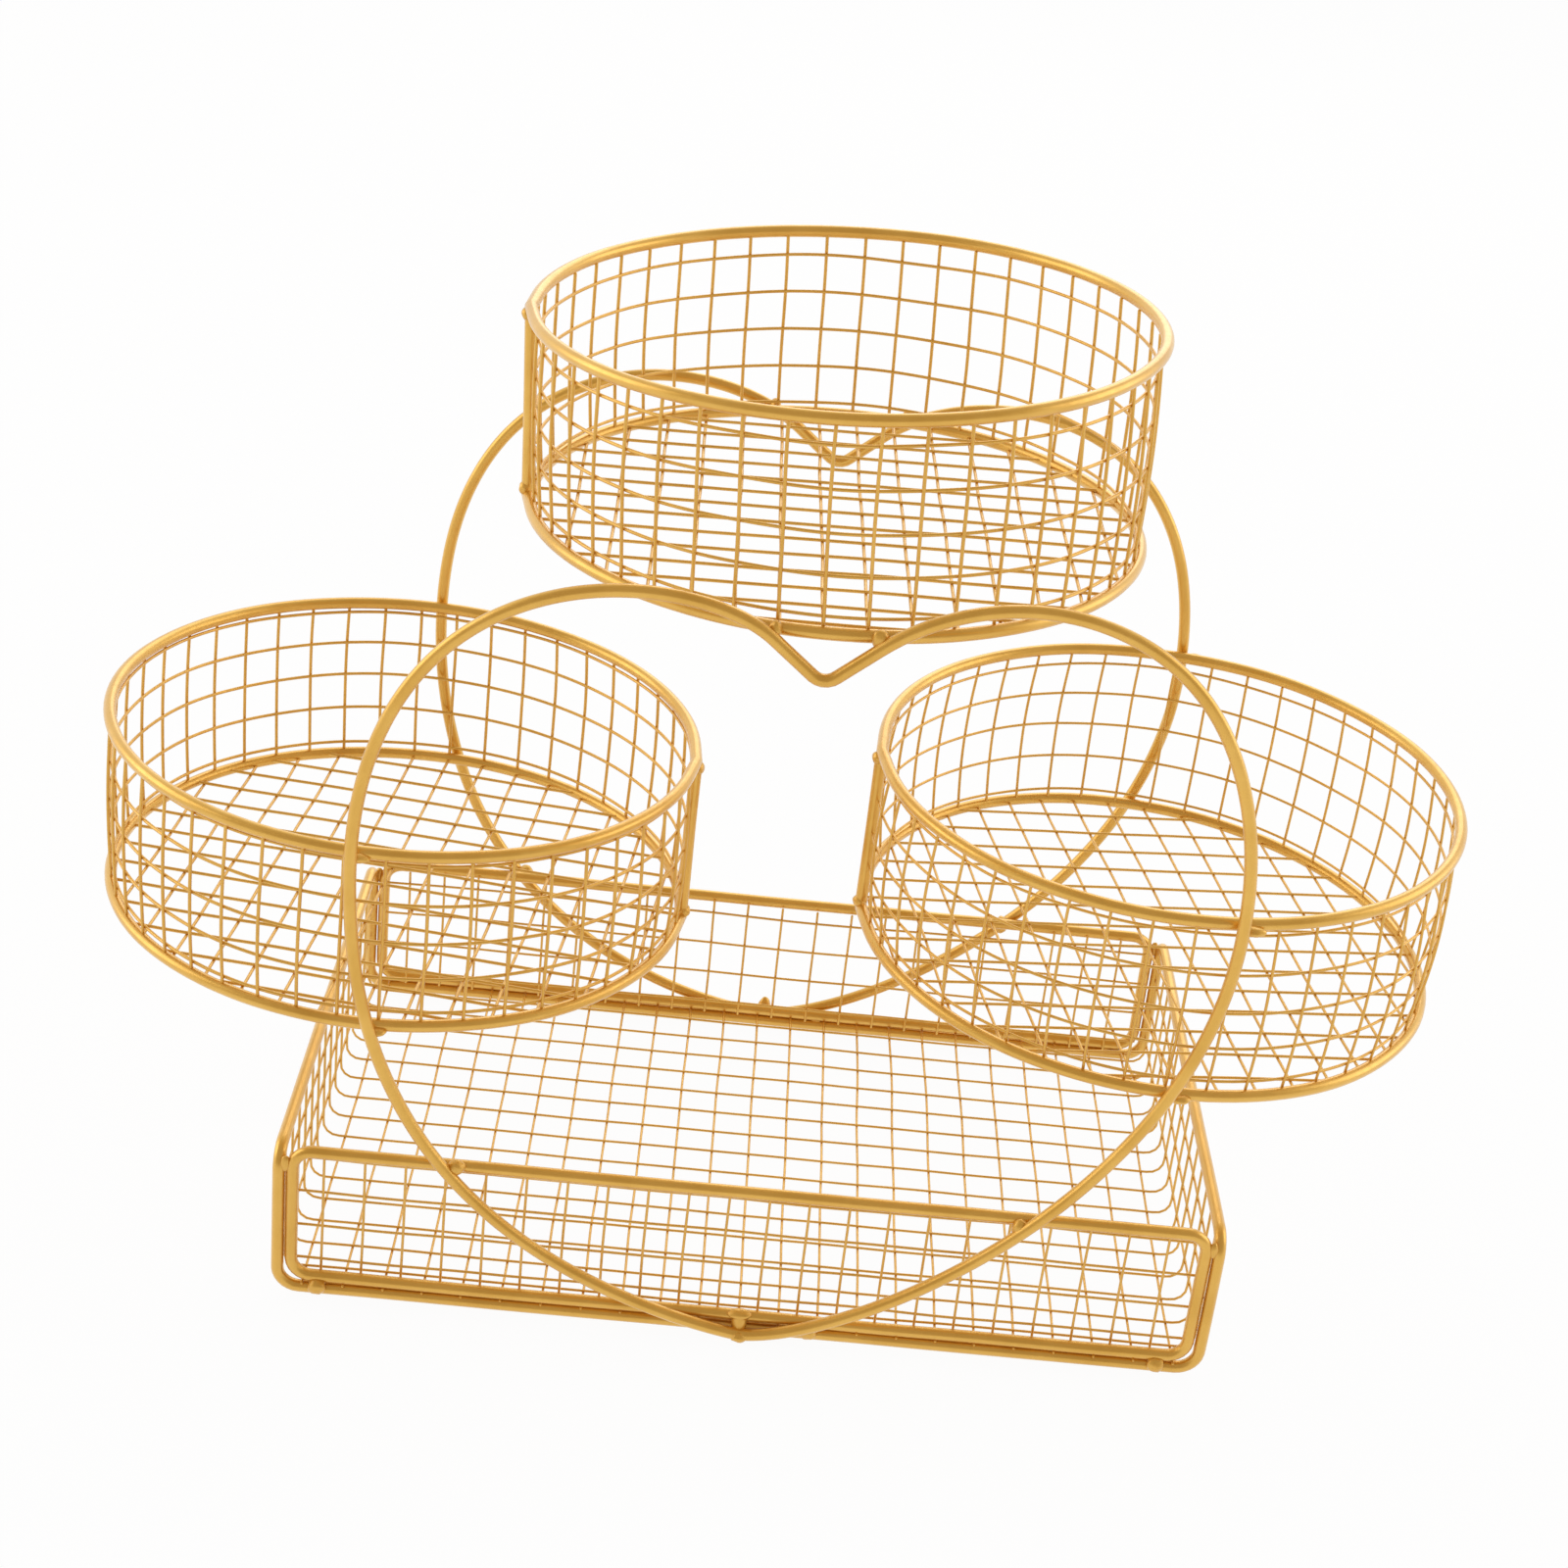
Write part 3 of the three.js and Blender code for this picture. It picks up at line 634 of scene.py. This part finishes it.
def frame_gold(settings):
    """Plating on the thick frame wire."""
    finish = settings.finish
    return satin_gold("satin_gold_frame", finish.gold_light, finish.gold_deep, 0.33, 0.04 * MM)


def mesh_gold(settings):
    """Plating on the thin mesh wire."""
    finish = settings.finish
    return satin_gold("satin_gold_mesh", finish.gold_light, finish.gold_deep, 0.44, 0.03 * MM)


def weld_gold(settings):
    """Plating over the rougher weld beads."""
    finish = settings.finish
    return satin_gold("satin_gold_weld", finish.gold_light, finish.gold_deep, 0.44, 0.2 * MM)


def add_piece(name, shell, material, nodes=()):
    """Turn a shell into a piece of the object that rides on the stand and stands for its solids."""
    old = bpy.data.objects.get(name)
    if old:
        bpy.data.objects.remove(old)
    bmesh.ops.recalc_face_normals(shell, faces=shell.faces)
    for face in shell.faces:
        face.smooth = True
    mesh = bpy.data.meshes.new(name)
    shell.to_mesh(mesh)
    shell.free()
    mesh.materials.append(material)
    piece = bpy.data.objects.new(name, mesh)
    bpy.context.scene.collection.objects.link(piece)
    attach(piece, BODY)
    if nodes:
        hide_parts(*nodes)
    return piece


def add_frame_piece(settings, name, line, node, seed, closed=True):
    """One frame wire along a line, as a piece of its own."""
    shell = bmesh.new()
    waver = settings.wire.frame_waver
    add_wire(shell, strayed(line, waver, seed), settings.wire.frame_wire / 2, FRAME_SIDES, closed)
    return add_piece(name, shell, frame_gold(settings), [node])


# Operators


class STAND_OT_hearts(bpy.types.Operator):
    """Bend the front and the back heart"""

    bl_idname = "wire_stand.hearts"
    bl_label = "Hearts"

    def execute(self, context):
        settings = context.scene.wire_stand
        for seed, end in enumerate(ENDS):
            line = even_line(heart_line(settings, end), FRAME_STEP)
            own_seed = SEEDS["hearts"] + seed
            add_frame_piece(settings, f"heart_{end}_wire", line, f"heart_frame_{end}", own_seed)
        return {"FINISHED"}


class STAND_OT_basket_rings(bpy.types.Operator):
    """Bend the top and bottom ring of each basket"""

    bl_idname = "wire_stand.basket_rings"
    bl_label = "Basket rings"

    def execute(self, context):
        settings = context.scene.wire_stand
        for seed, name in enumerate(BASKETS):
            basket = getattr(settings, name)
            for level, share in (("top", 1), ("bottom", 0)):
                line = ring_line(basket, share)
                own_seed = SEEDS["rings"] + seed
                add_frame_piece(settings, f"{name}_{level}_hoop", line, f"{name}_{level}_ring", own_seed)
        return {"FINISHED"}


class STAND_OT_seam_posts(bpy.types.Operator):
    """Set the upright at the seam of each basket"""

    bl_idname = "wire_stand.seam_posts"
    bl_label = "Seam posts"

    def execute(self, context):
        settings = context.scene.wire_stand
        wire = settings.wire
        for seed, name in enumerate(BASKETS):
            basket = getattr(settings, name)
            stand = basket_matrix(basket)
            radius = ring_radius(basket, basket.seam)
            clear = (wire.frame_wire / 2 + wire.weld_gap) / basket.height
            line = []
            for share in spaced(clear, 1 - clear, POST_STEP / basket.height):
                line.append(stand @ basket_point(basket, basket.seam, radius, share))
            own_seed = SEEDS["posts"] + seed
            add_frame_piece(settings, f"{name}_post", line, f"{name}_seam_post", own_seed, closed=False)
        return {"FINISHED"}


class STAND_OT_basket_walls(bpy.types.Operator):
    """Bend a strip of mesh round between the rings of each basket"""

    bl_idname = "wire_stand.basket_walls"
    bl_label = "Basket walls"

    def execute(self, context):
        settings = context.scene.wire_stand
        wire = settings.wire
        for seed, name in enumerate(BASKETS):
            basket = getattr(settings, name)
            stand = basket_matrix(basket)
            bend = basket.radius - basket.wall_inset
            half_length = math.pi * bend - (wire.frame_wire + basket.seam_room) / 2
            uprights = pitched(basket.upright_shift, wire.mesh_pitch, half_length - wire.mesh_wire)
            foot = wire.frame_wire / 2 - BUTT_SUNK
            hoops = []
            height = basket.lowest_hoop
            while height < basket.height - wire.frame_wire / 2:
                hoops.append(height)
                height += wire.mesh_pitch

            def rolled(u, v, depth):
                turn = basket.seam + math.pi - u / bend
                share = v / basket.height
                off_rings = math.sin(math.pi * share)
                out = bend + basket.bulge * off_rings - depth
                share += basket.strip_tilt / basket.height * math.sin(turn) * off_rings
                return stand @ basket_point(basket, turn, out, share)

            rows = [(height, -half_length, half_length) for height in hoops]
            columns = [(place, foot, basket.height - foot) for place in uprights]
            shell = bmesh.new()
            thickness = wire.mesh_wire - basket.thinner
            add_sheet(shell, rows, columns, rolled, thickness, wire.mesh_waver, SEEDS["walls"] + seed)
            add_piece(f"{name}_wall", shell, mesh_gold(settings), [f"{name}_wall_mesh"])
        return {"FINISHED"}


class STAND_OT_basket_floors(bpy.types.Operator):
    """Lay a round cut of mesh into the bottom ring of each basket"""

    bl_idname = "wire_stand.basket_floors"
    bl_label = "Basket floors"

    def execute(self, context):
        settings = context.scene.wire_stand
        wire = settings.wire
        for seed, name in enumerate(BASKETS):
            basket = getattr(settings, name)
            stand = basket_matrix(basket) @ Matrix.Rotation(basket.floor_turn, 4, "Z")
            edge = basket.radius - wire.frame_wire / 2 + BUTT_SUNK

            def cut(first):
                wires = []
                for place in pitched(first, wire.mesh_pitch, edge - 2 * wire.mesh_wire):
                    reach = math.sqrt(edge**2 - place**2)
                    wires.append((place, -reach, reach))
                return wires

            def laid(u, v, depth):
                return stand @ Vector((u, v, depth))

            shell = bmesh.new()
            rows = cut(basket.floor_row)
            columns = cut(basket.floor_column)
            thickness = wire.mesh_wire - basket.thinner
            add_sheet(shell, rows, columns, laid, thickness, wire.mesh_waver, SEEDS["floors"] + seed)
            add_piece(f"{name}_floor", shell, mesh_gold(settings), [f"{name}_floor_mesh"])
        return {"FINISHED"}


class STAND_OT_tray_frame(bpy.types.Operator):
    """Bend the tray's outer frame and the loop inside each of its ends"""

    bl_idname = "wire_stand.tray_frame"
    bl_label = "Tray frame and loops"

    def execute(self, context):
        settings = context.scene.wire_stand
        line = even_line(tray_frame_line(settings), FRAME_STEP)
        add_frame_piece(settings, "tray_frame_wire", line, "tray_outer_frame", SEEDS["tray_frame"])
        for seed, end in enumerate(ENDS):
            line = even_line(tray_loop_line(settings, end), FRAME_STEP)
            own_seed = SEEDS["tray_loops"] + seed
            add_frame_piece(settings, f"tray_{end}_loop_wire", line, f"tray_{end}_loop", own_seed)
        return {"FINISHED"}


class STAND_OT_tray_panels(bpy.types.Operator):
    """Hang a mesh panel on the inner side of each end loop"""

    bl_idname = "wire_stand.tray_panels"
    bl_label = "Tray end panels"

    def execute(self, context):
        settings = context.scene.wire_stand
        wire = settings.wire
        tray = settings.tray
        half_width, bottom, top = loop_sizes(settings)
        depth_in = tray.half_depth - wire.frame_wire / 2 - wire.weld_gap - wire.mesh_wire
        uprights = pitched(tray.first_upright, wire.mesh_pitch, half_width - wire.frame_wire)
        levels = []
        height = bottom + tray.lowest_wire
        while height < top:
            levels.append(height)
            height += wire.mesh_pitch
        for seed, (end, sign) in enumerate(ENDS.items()):

            def hung(u, v, depth):
                return Vector((tray.shift + u, sign * (depth_in - depth), v))

            rows = [(height, -half_width, half_width) for height in levels]
            columns = [(place, bottom - PANEL_FOOT, top - PANEL_HEAD) for place in uprights]
            shell = bmesh.new()
            own_seed = SEEDS["panels"] + seed
            add_sheet(shell, rows, columns, hung, wire.tray_mesh_wire, wire.mesh_waver, own_seed)
            add_piece(f"tray_{end}_panel", shell, mesh_gold(settings), [f"tray_{end}_mesh"])
        return {"FINISHED"}


class STAND_OT_tray_sheet(bpy.types.Operator):
    """Lay the tray's floor sheet and turn it up at both sides"""

    bl_idname = "wire_stand.tray_sheet"
    bl_label = "Tray floor sheet"

    def execute(self, context):
        settings = context.scene.wire_stand
        wire = settings.wire
        tray = settings.tray
        floor_level = wire.frame_wire + (wire.weld_gap + wire.mesh_wire) / 2
        side_level = tray.half_width - tray.side_inset
        rail_flat = tray.half_depth - wire.frame_wire / 2
        bend = tray.sheet_bend
        flat_half = side_level - bend
        bend_length = bend * math.pi / 2
        bend_top = floor_level + bend
        side_top = tray.rail_height - wire.frame_wire / 2 + BUTT_SUNK
        half_length = flat_half + bend_length + side_top - bend_top

        def folded(u, v, depth):
            past_flat = max(abs(u) - flat_half, 0)
            turn = min(past_flat / bend, math.pi / 2)
            radius = bend - depth
            x = min(abs(u), flat_half) + radius * math.sin(turn)
            upright = max(past_flat - bend_length, 0)
            height = bend_top - radius * math.cos(turn) + upright
            return Vector((tray.shift + math.copysign(x, u), v, height))

        rows = []
        for place in pitched(tray.first_row, tray.row_pitch, rail_flat - wire.frame_wire):
            rows.append((place, -half_length, half_length))
        columns = []
        for place in pitched(0, wire.mesh_pitch, half_length - wire.mesh_wire):
            on_floor = abs(place) < flat_half
            reach = tray.half_depth + tray.ends_out if on_floor else rail_flat - wire.weld_gap
            columns.append((place, -reach, reach))
        shell = bmesh.new()
        add_sheet(shell, rows, columns, folded, wire.tray_mesh_wire, wire.mesh_waver, SEEDS["tray_sheet"])
        add_piece("tray_floor_sheet", shell, mesh_gold(settings), ["tray_floor_mesh"])
        return {"FINISHED"}


def heart_crossing(settings, end, side, height):
    """How far sideways a side of a heart is where it passes a height, below its lobe."""
    line = heart_side_line(settings, end, side)
    for here, there in reversed(list(zip(line, line[1:]))):
        low, high = sorted((here.z, there.z))
        if low <= height < high:
            share = (height - here.z) / (there.z - here.z)
            return heart_form(settings, end).shift + here.lerp(there, share).x
    raise ValueError(f"the {side} side of the {end} heart doesn't pass {height:.4f} m")


def notch_crossing(settings, end, side, height):
    """How far sideways the straight run out of a heart's notch is where it passes a height."""
    form = heart_form(settings, end)
    rise = height - form.notch_height
    return form.shift + SIDES[side] * rise / math.tan(settings.heart.notch_angle)


def ring_at(basket, share, x, end):
    """Place of a ring's front or back at a place sideways, in the stand's frame."""
    on_this_end = [place for place in ring_line(basket, share) if place.y * ENDS[end] > 0]
    return min(on_this_end, key=lambda place: abs(place.x - x))


# Beads on the hearts, in millimetres: sideways, up and outward from the crossing, half length and
# half height
HEART_WELDS = {
    "right_top_ring": (2.6, -0.9, 0, 3.4, 1.5),
    "right_bottom_ring": (2.8, -0.7, 0, 3.4, 1.4),
    "left_top_ring": (2.6, -1.0, 0, 3.6, 1.5),
    "left_bottom_ring": (2.4, -1.2, 0, 2.8, 1.3),
    "right_notch": (-1.8, 0, 0.4, 2.6, 3.2),
    "left_notch": (1.6, 0.4, 0.4, 1.9, 3.0),
    "right_tray": (-2.8, -1.8, 0.6, 2.7, 3.5),
    "left_tray": (2.9, 1.2, 0.6, 2.8, 2.5),
    "tip_neck": (0, -0.5, 0.4, 2.5, 4.6),
    "tip_head": (0, 2.2, 0.2, 3.9, 1.7),
    "tip_foot": (0.3, -4.5, 2.9, 2.8, 1.8),
}
WELD_HALF_DEPTH = 2.2 * MM

# Beads at the seam posts and on the tray: half sizes along the wire and across it, and places
SEAM_BEAD = (2.5 * MM, 2.3 * MM, 2.2 * MM)
SEAM_BEAD_OUT = 0.7 * MM  # outward from the middle of the post
SEAM_BEAD_INWARD = 2.2 * MM  # from the middle of the ring toward the middle of the post
RAIL_BEAD = (3.0 * MM, 2.3 * MM, 2.8 * MM)
RAIL_BEAD_PLACES = (-133.5 * MM, 24 * MM, 136 * MM)  # sideways from the middle of the stand
RAIL_BEAD_DROP = 0.7 * MM  # below halfway between the bottom rail and the loop's bottom bar
RAIL_BEAD_OUT = 1.6 * MM  # outward from the middle of the rail
SIDE_BEAD = (3.0 * MM, 1.2 * MM, 1.6 * MM)
SIDE_BEAD_DROP = 4 * MM  # below the side rails
SIDE_BEAD_OUT = 0.6 * MM  # outward from the middle of the frame's upright


class STAND_OT_welds(bpy.types.Operator):
    """Set the weld beads that hold the frame wires together"""

    bl_idname = "wire_stand.welds"
    bl_label = "Weld beads"

    def execute(self, context):
        settings = context.scene.wire_stand
        for end in ENDS:
            self.heart_beads(settings, end)
        self.seam_beads(settings)
        self.tray_beads(settings)
        return {"FINISHED"}

    def heart_beads(self, settings, end):
        """Beads from one heart to the baskets, the tray's loop and the tray's bottom rail."""
        shell = bmesh.new()
        form = heart_form(settings, end)
        _, loop_bottom, loop_top = loop_sizes(settings)
        heart_y = ENDS[end] * settings.heart.distance
        tray_y = ENDS[end] * settings.tray.half_depth
        crossings = {}
        for side in SIDES:
            basket = getattr(settings, f"{side}_basket")
            for level, share in (("bottom", 0), ("top", 1)):
                x = heart_crossing(settings, end, side, basket.foot_height + share * basket.height)
                crossings[f"{side}_{level}_ring"] = ring_at(basket, share, x, end)
            x = notch_crossing(settings, end, side, settings.top_basket.foot_height)
            crossings[f"{side}_notch"] = ring_at(settings.top_basket, 0, x, end)
            x = heart_crossing(settings, end, side, loop_top)
            crossings[f"{side}_tray"] = Vector((x, tray_y, loop_top))
        tip = Vector((form.shift + form.tip_shift, tray_y, loop_bottom))
        crossings["tip_neck"] = tip
        crossings["tip_foot"] = tip.copy()
        if end == "front":
            crossings["tip_head"] = tip.copy()
        for seed, (name, place) in enumerate(crossings.items()):
            sideways, upward, outward, half_long, half_high = (size * MM for size in HEART_WELDS[name])
            place.y = (place.y + heart_y) / 2 + ENDS[end] * outward
            place += RIGHT * sideways + UP * upward
            sizes = (half_long, half_high, WELD_HALF_DEPTH)
            add_bead(shell, place, RIGHT, UP, sizes, seed * 1.9 + ENDS[end])
        add_piece(f"heart_{end}_welds", shell, weld_gold(settings))

    def seam_beads(self, settings):
        """Beads where each seam post meets its two rings."""
        shell = bmesh.new()
        for seed, name in enumerate(BASKETS):
            basket = getattr(settings, name)
            stand = basket_matrix(basket)
            outward = Vector((math.cos(basket.seam), math.sin(basket.seam), 0))
            along = UP.cross(outward)
            out = ring_radius(basket, basket.seam) + SEAM_BEAD_OUT
            turned = stand.to_3x3()
            for share, toward in ((0, 1), (1, -1)):
                place = basket_point(basket, basket.seam, out, share) + UP * toward * SEAM_BEAD_INWARD
                lump_seed = SEEDS["seam_beads"] + seed * 2.3 + toward
                add_bead(shell, stand @ place, turned @ along, turned @ UP, SEAM_BEAD, lump_seed)
        add_piece("seam_welds", shell, weld_gold(settings))

    def tray_beads(self, settings):
        """Beads between the tray's frame and its end loops."""
        shell = bmesh.new()
        tray = settings.tray
        half_width, bottom, _ = loop_sizes(settings)
        rail = settings.wire.frame_wire / 2
        between = (bottom + rail) / 2 - RAIL_BEAD_DROP
        beside = (half_width + tray.half_width) / 2
        places = [(x, between, RIGHT, RAIL_BEAD_OUT, RAIL_BEAD) for x in RAIL_BEAD_PLACES]
        for sign in SIDES.values():
            height = tray.rail_height - SIDE_BEAD_DROP
            places.append((tray.shift + sign * beside, height, UP, SIDE_BEAD_OUT, SIDE_BEAD))
        for sign in ENDS.values():
            for seed, (x, z, run, outward, sizes) in enumerate(places):
                place = Vector((x, sign * (tray.half_depth + outward), z))
                add_bead(shell, place, run, BACK, sizes, SEEDS["tray_beads"] + seed * 1.3 + sign)
        add_piece("tray_welds", shell, weld_gold(settings))


# Stage

CAMERA_AZIMUTH = -1.521
CAMERA_ELEVATION = 26.512
CAMERA_ROLL = 6.271
CAMERA_DISTANCE = 0.89497
CAMERA_TARGET = Vector((-0.00034, 0.00005, 0.14999))
CAMERA_LENS = 62.782

FLOOR_GLOW = 0.95  # share of plain white in what the camera sees of the floor, the rest is lit and shaded

# Soft boxes: place, size in metres and strength in watts
SOFT_BOXES = {
    "right_box": (Vector((1.9, 0.3, 0.9)), 1.4, 7.0),
    "left_box": (Vector((-1.9, 0.1, 0.9)), 1.4, 8.0),
    "back_box": (Vector((0.3, 1.9, 1.3)), 1.4, 6.0),
}
DIM_DIRECTION = Vector((0, -0.68, 0.733))  # where the surroundings are dimmest: the camera's side, above it
DIM_TONE = (0.5, 0.43, 0.37, 1)  # slightly warm, as the dark bands on the wires are
FADE_START = 0.1  # how far toward the dim direction the white ends, as the cosine of the angle
FADE_END = 0.7  # and where the dim tone is reached


def add_floor(settings):
    """White floor that keeps the shadow of the stand."""
    shell = bmesh.new()
    bmesh.ops.create_grid(shell, x_segments=1, y_segments=1, size=20)
    mesh = bpy.data.meshes.new("floor")
    shell.to_mesh(mesh)
    shell.free()
    floor = bpy.data.objects.new("floor", mesh)
    bpy.context.scene.collection.objects.link(floor)
    material = bpy.data.materials.new("white_floor")
    material.use_nodes = True
    tree = material.node_tree
    shader = tree.nodes["Principled BSDF"]
    shader.inputs["Base Color"].default_value = (*settings.finish.floor_white, 1)
    shader.inputs["Roughness"].default_value = 0.9
    shader.inputs["Specular IOR Level"].default_value = 0.0
    glow = add_node(tree, "ShaderNodeEmission", Strength=1.0)
    seen = tree.nodes.new("ShaderNodeLightPath")
    direct = tree.nodes.new("ShaderNodeMath")
    direct.operation = "MAXIMUM"
    through = tree.nodes.new("ShaderNodeMath")
    through.operation = "MAXIMUM"
    share = tree.nodes.new("ShaderNodeMath")
    share.operation = "MULTIPLY"
    share.inputs[1].default_value = FLOOR_GLOW
    mix = tree.nodes.new("ShaderNodeMixShader")
    links = tree.links
    links.new(seen.outputs["Is Camera Ray"], direct.inputs[0])
    links.new(seen.outputs["Is Glossy Ray"], direct.inputs[1])
    links.new(direct.outputs["Value"], through.inputs[0])
    links.new(seen.outputs["Is Transmission Ray"], through.inputs[1])
    links.new(through.outputs["Value"], share.inputs[0])
    links.new(share.outputs["Value"], mix.inputs["Fac"])
    links.new(shader.outputs["BSDF"], mix.inputs[1])
    links.new(glow.outputs["Emission"], mix.inputs[2])
    links.new(mix.outputs["Shader"], tree.nodes["Material Output"].inputs["Surface"])
    mesh.materials.append(material)


def add_surroundings():
    """Surroundings that are white at the sides and behind, and dim and slightly warm toward the camera."""
    world = bpy.data.worlds.new("studio")
    bpy.context.scene.world = world
    world.use_nodes = True
    tree = world.node_tree
    background = tree.nodes["Background"]
    background.inputs["Strength"].default_value = 1.0
    coordinates = tree.nodes.new("ShaderNodeTexCoord")
    toward = tree.nodes.new("ShaderNodeVectorMath")
    toward.operation = "DOT_PRODUCT"
    toward.inputs[1].default_value = DIM_DIRECTION
    fade = tree.nodes.new("ShaderNodeValToRGB")
    fade.color_ramp.elements[0].position = FADE_START
    fade.color_ramp.elements[0].color = (1, 1, 1, 1)
    fade.color_ramp.elements[1].position = FADE_END
    fade.color_ramp.elements[1].color = DIM_TONE
    links = tree.links
    links.new(coordinates.outputs["Generated"], toward.inputs[0])
    links.new(toward.outputs["Value"], fade.inputs["Fac"])
    links.new(fade.outputs["Color"], background.inputs["Color"])


def add_soft_boxes():
    """Large soft lights, turned to the middle of the stand."""
    for name, (place, size, watts) in SOFT_BOXES.items():
        light = bpy.data.lights.new(name, "AREA")
        light.shape = "SQUARE"
        light.size = size
        light.energy = watts
        lamp = bpy.data.objects.new(name, light)
        bpy.context.scene.collection.objects.link(lamp)
        lamp.location = place
        lamp.rotation_euler = (CAMERA_TARGET - place).to_track_quat("-Z", "Y").to_euler()


def add_camera():
    """Camera at the photograph's angle."""
    azimuth = math.radians(CAMERA_AZIMUTH)
    elevation = math.radians(CAMERA_ELEVATION)
    roll = math.radians(CAMERA_ROLL)
    level = math.cos(elevation)
    back = Vector((math.sin(azimuth) * level, -math.cos(azimuth) * level, math.sin(elevation)))
    right = UP.cross(back).normalized()
    up = back.cross(right)
    across = right * math.cos(roll) + up * math.sin(roll)
    upward = up * math.cos(roll) - right * math.sin(roll)
    turned = Matrix((across, upward, back)).transposed().to_4x4()
    lens = bpy.data.cameras.new("camera")
    lens.lens = CAMERA_LENS
    lens.sensor_width = 36.0
    camera = bpy.data.objects.new("camera", lens)
    bpy.context.scene.collection.objects.link(camera)
    camera.matrix_world = Matrix.Translation(CAMERA_TARGET + back * CAMERA_DISTANCE) @ turned
    bpy.context.scene.camera = camera


class STAND_OT_stage(bpy.types.Operator):
    """Set the white floor, the soft light and the camera"""

    bl_idname = "wire_stand.stage"
    bl_label = "Stage"

    def execute(self, context):
        add_floor(context.scene.wire_stand)
        add_surroundings()
        add_soft_boxes()
        add_camera()
        context.scene.view_settings.view_transform = "Standard"
        return {"FINISHED"}


class STAND_PT_sidebar(bpy.types.Panel):
    """Steps that build the stand, in their order"""

    bl_idname = "STAND_PT_sidebar"
    bl_label = "Basket stand"
    bl_space_type = "VIEW_3D"
    bl_region_type = "UI"
    bl_category = "Basket stand"

    def draw(self, context):
        for operator in OPERATORS:
            self.layout.operator(operator.bl_idname)


OPERATORS = (
    STAND_OT_hearts,
    STAND_OT_basket_rings,
    STAND_OT_seam_posts,
    STAND_OT_basket_walls,
    STAND_OT_basket_floors,
    STAND_OT_tray_frame,
    STAND_OT_tray_panels,
    STAND_OT_tray_sheet,
    STAND_OT_welds,
    STAND_OT_stage,
)
CLASSES = (
    WireSizes,
    HeartSizes,
    HeartSideSizes,
    HeartForm,
    BasketSizes,
    TraySizes,
    Finish,
    StandSettings,
    *OPERATORS,
    STAND_PT_sidebar,
)


def register():
    """Make the settings, the operators and the panel known to Blender, and seed the wavers."""
    noise.seed_set(WAVER_SEED)
    for kind in CLASSES:
        bpy.utils.register_class(kind)
    bpy.types.Scene.wire_stand = bpy.props.PointerProperty(type=StandSettings)


def unregister():
    """Take them away again."""
    del bpy.types.Scene.wire_stand
    for kind in reversed(CLASSES):
        bpy.utils.unregister_class(kind)


def main():
    """Build the stand and its stage."""
    register()
    set_own_sizes(bpy.context.scene.wire_stand)
    for operator in OPERATORS:
        group, step = operator.bl_idname.split(".")
        getattr(getattr(bpy.ops, group), step)()


if __name__ == "__main__":
    main()
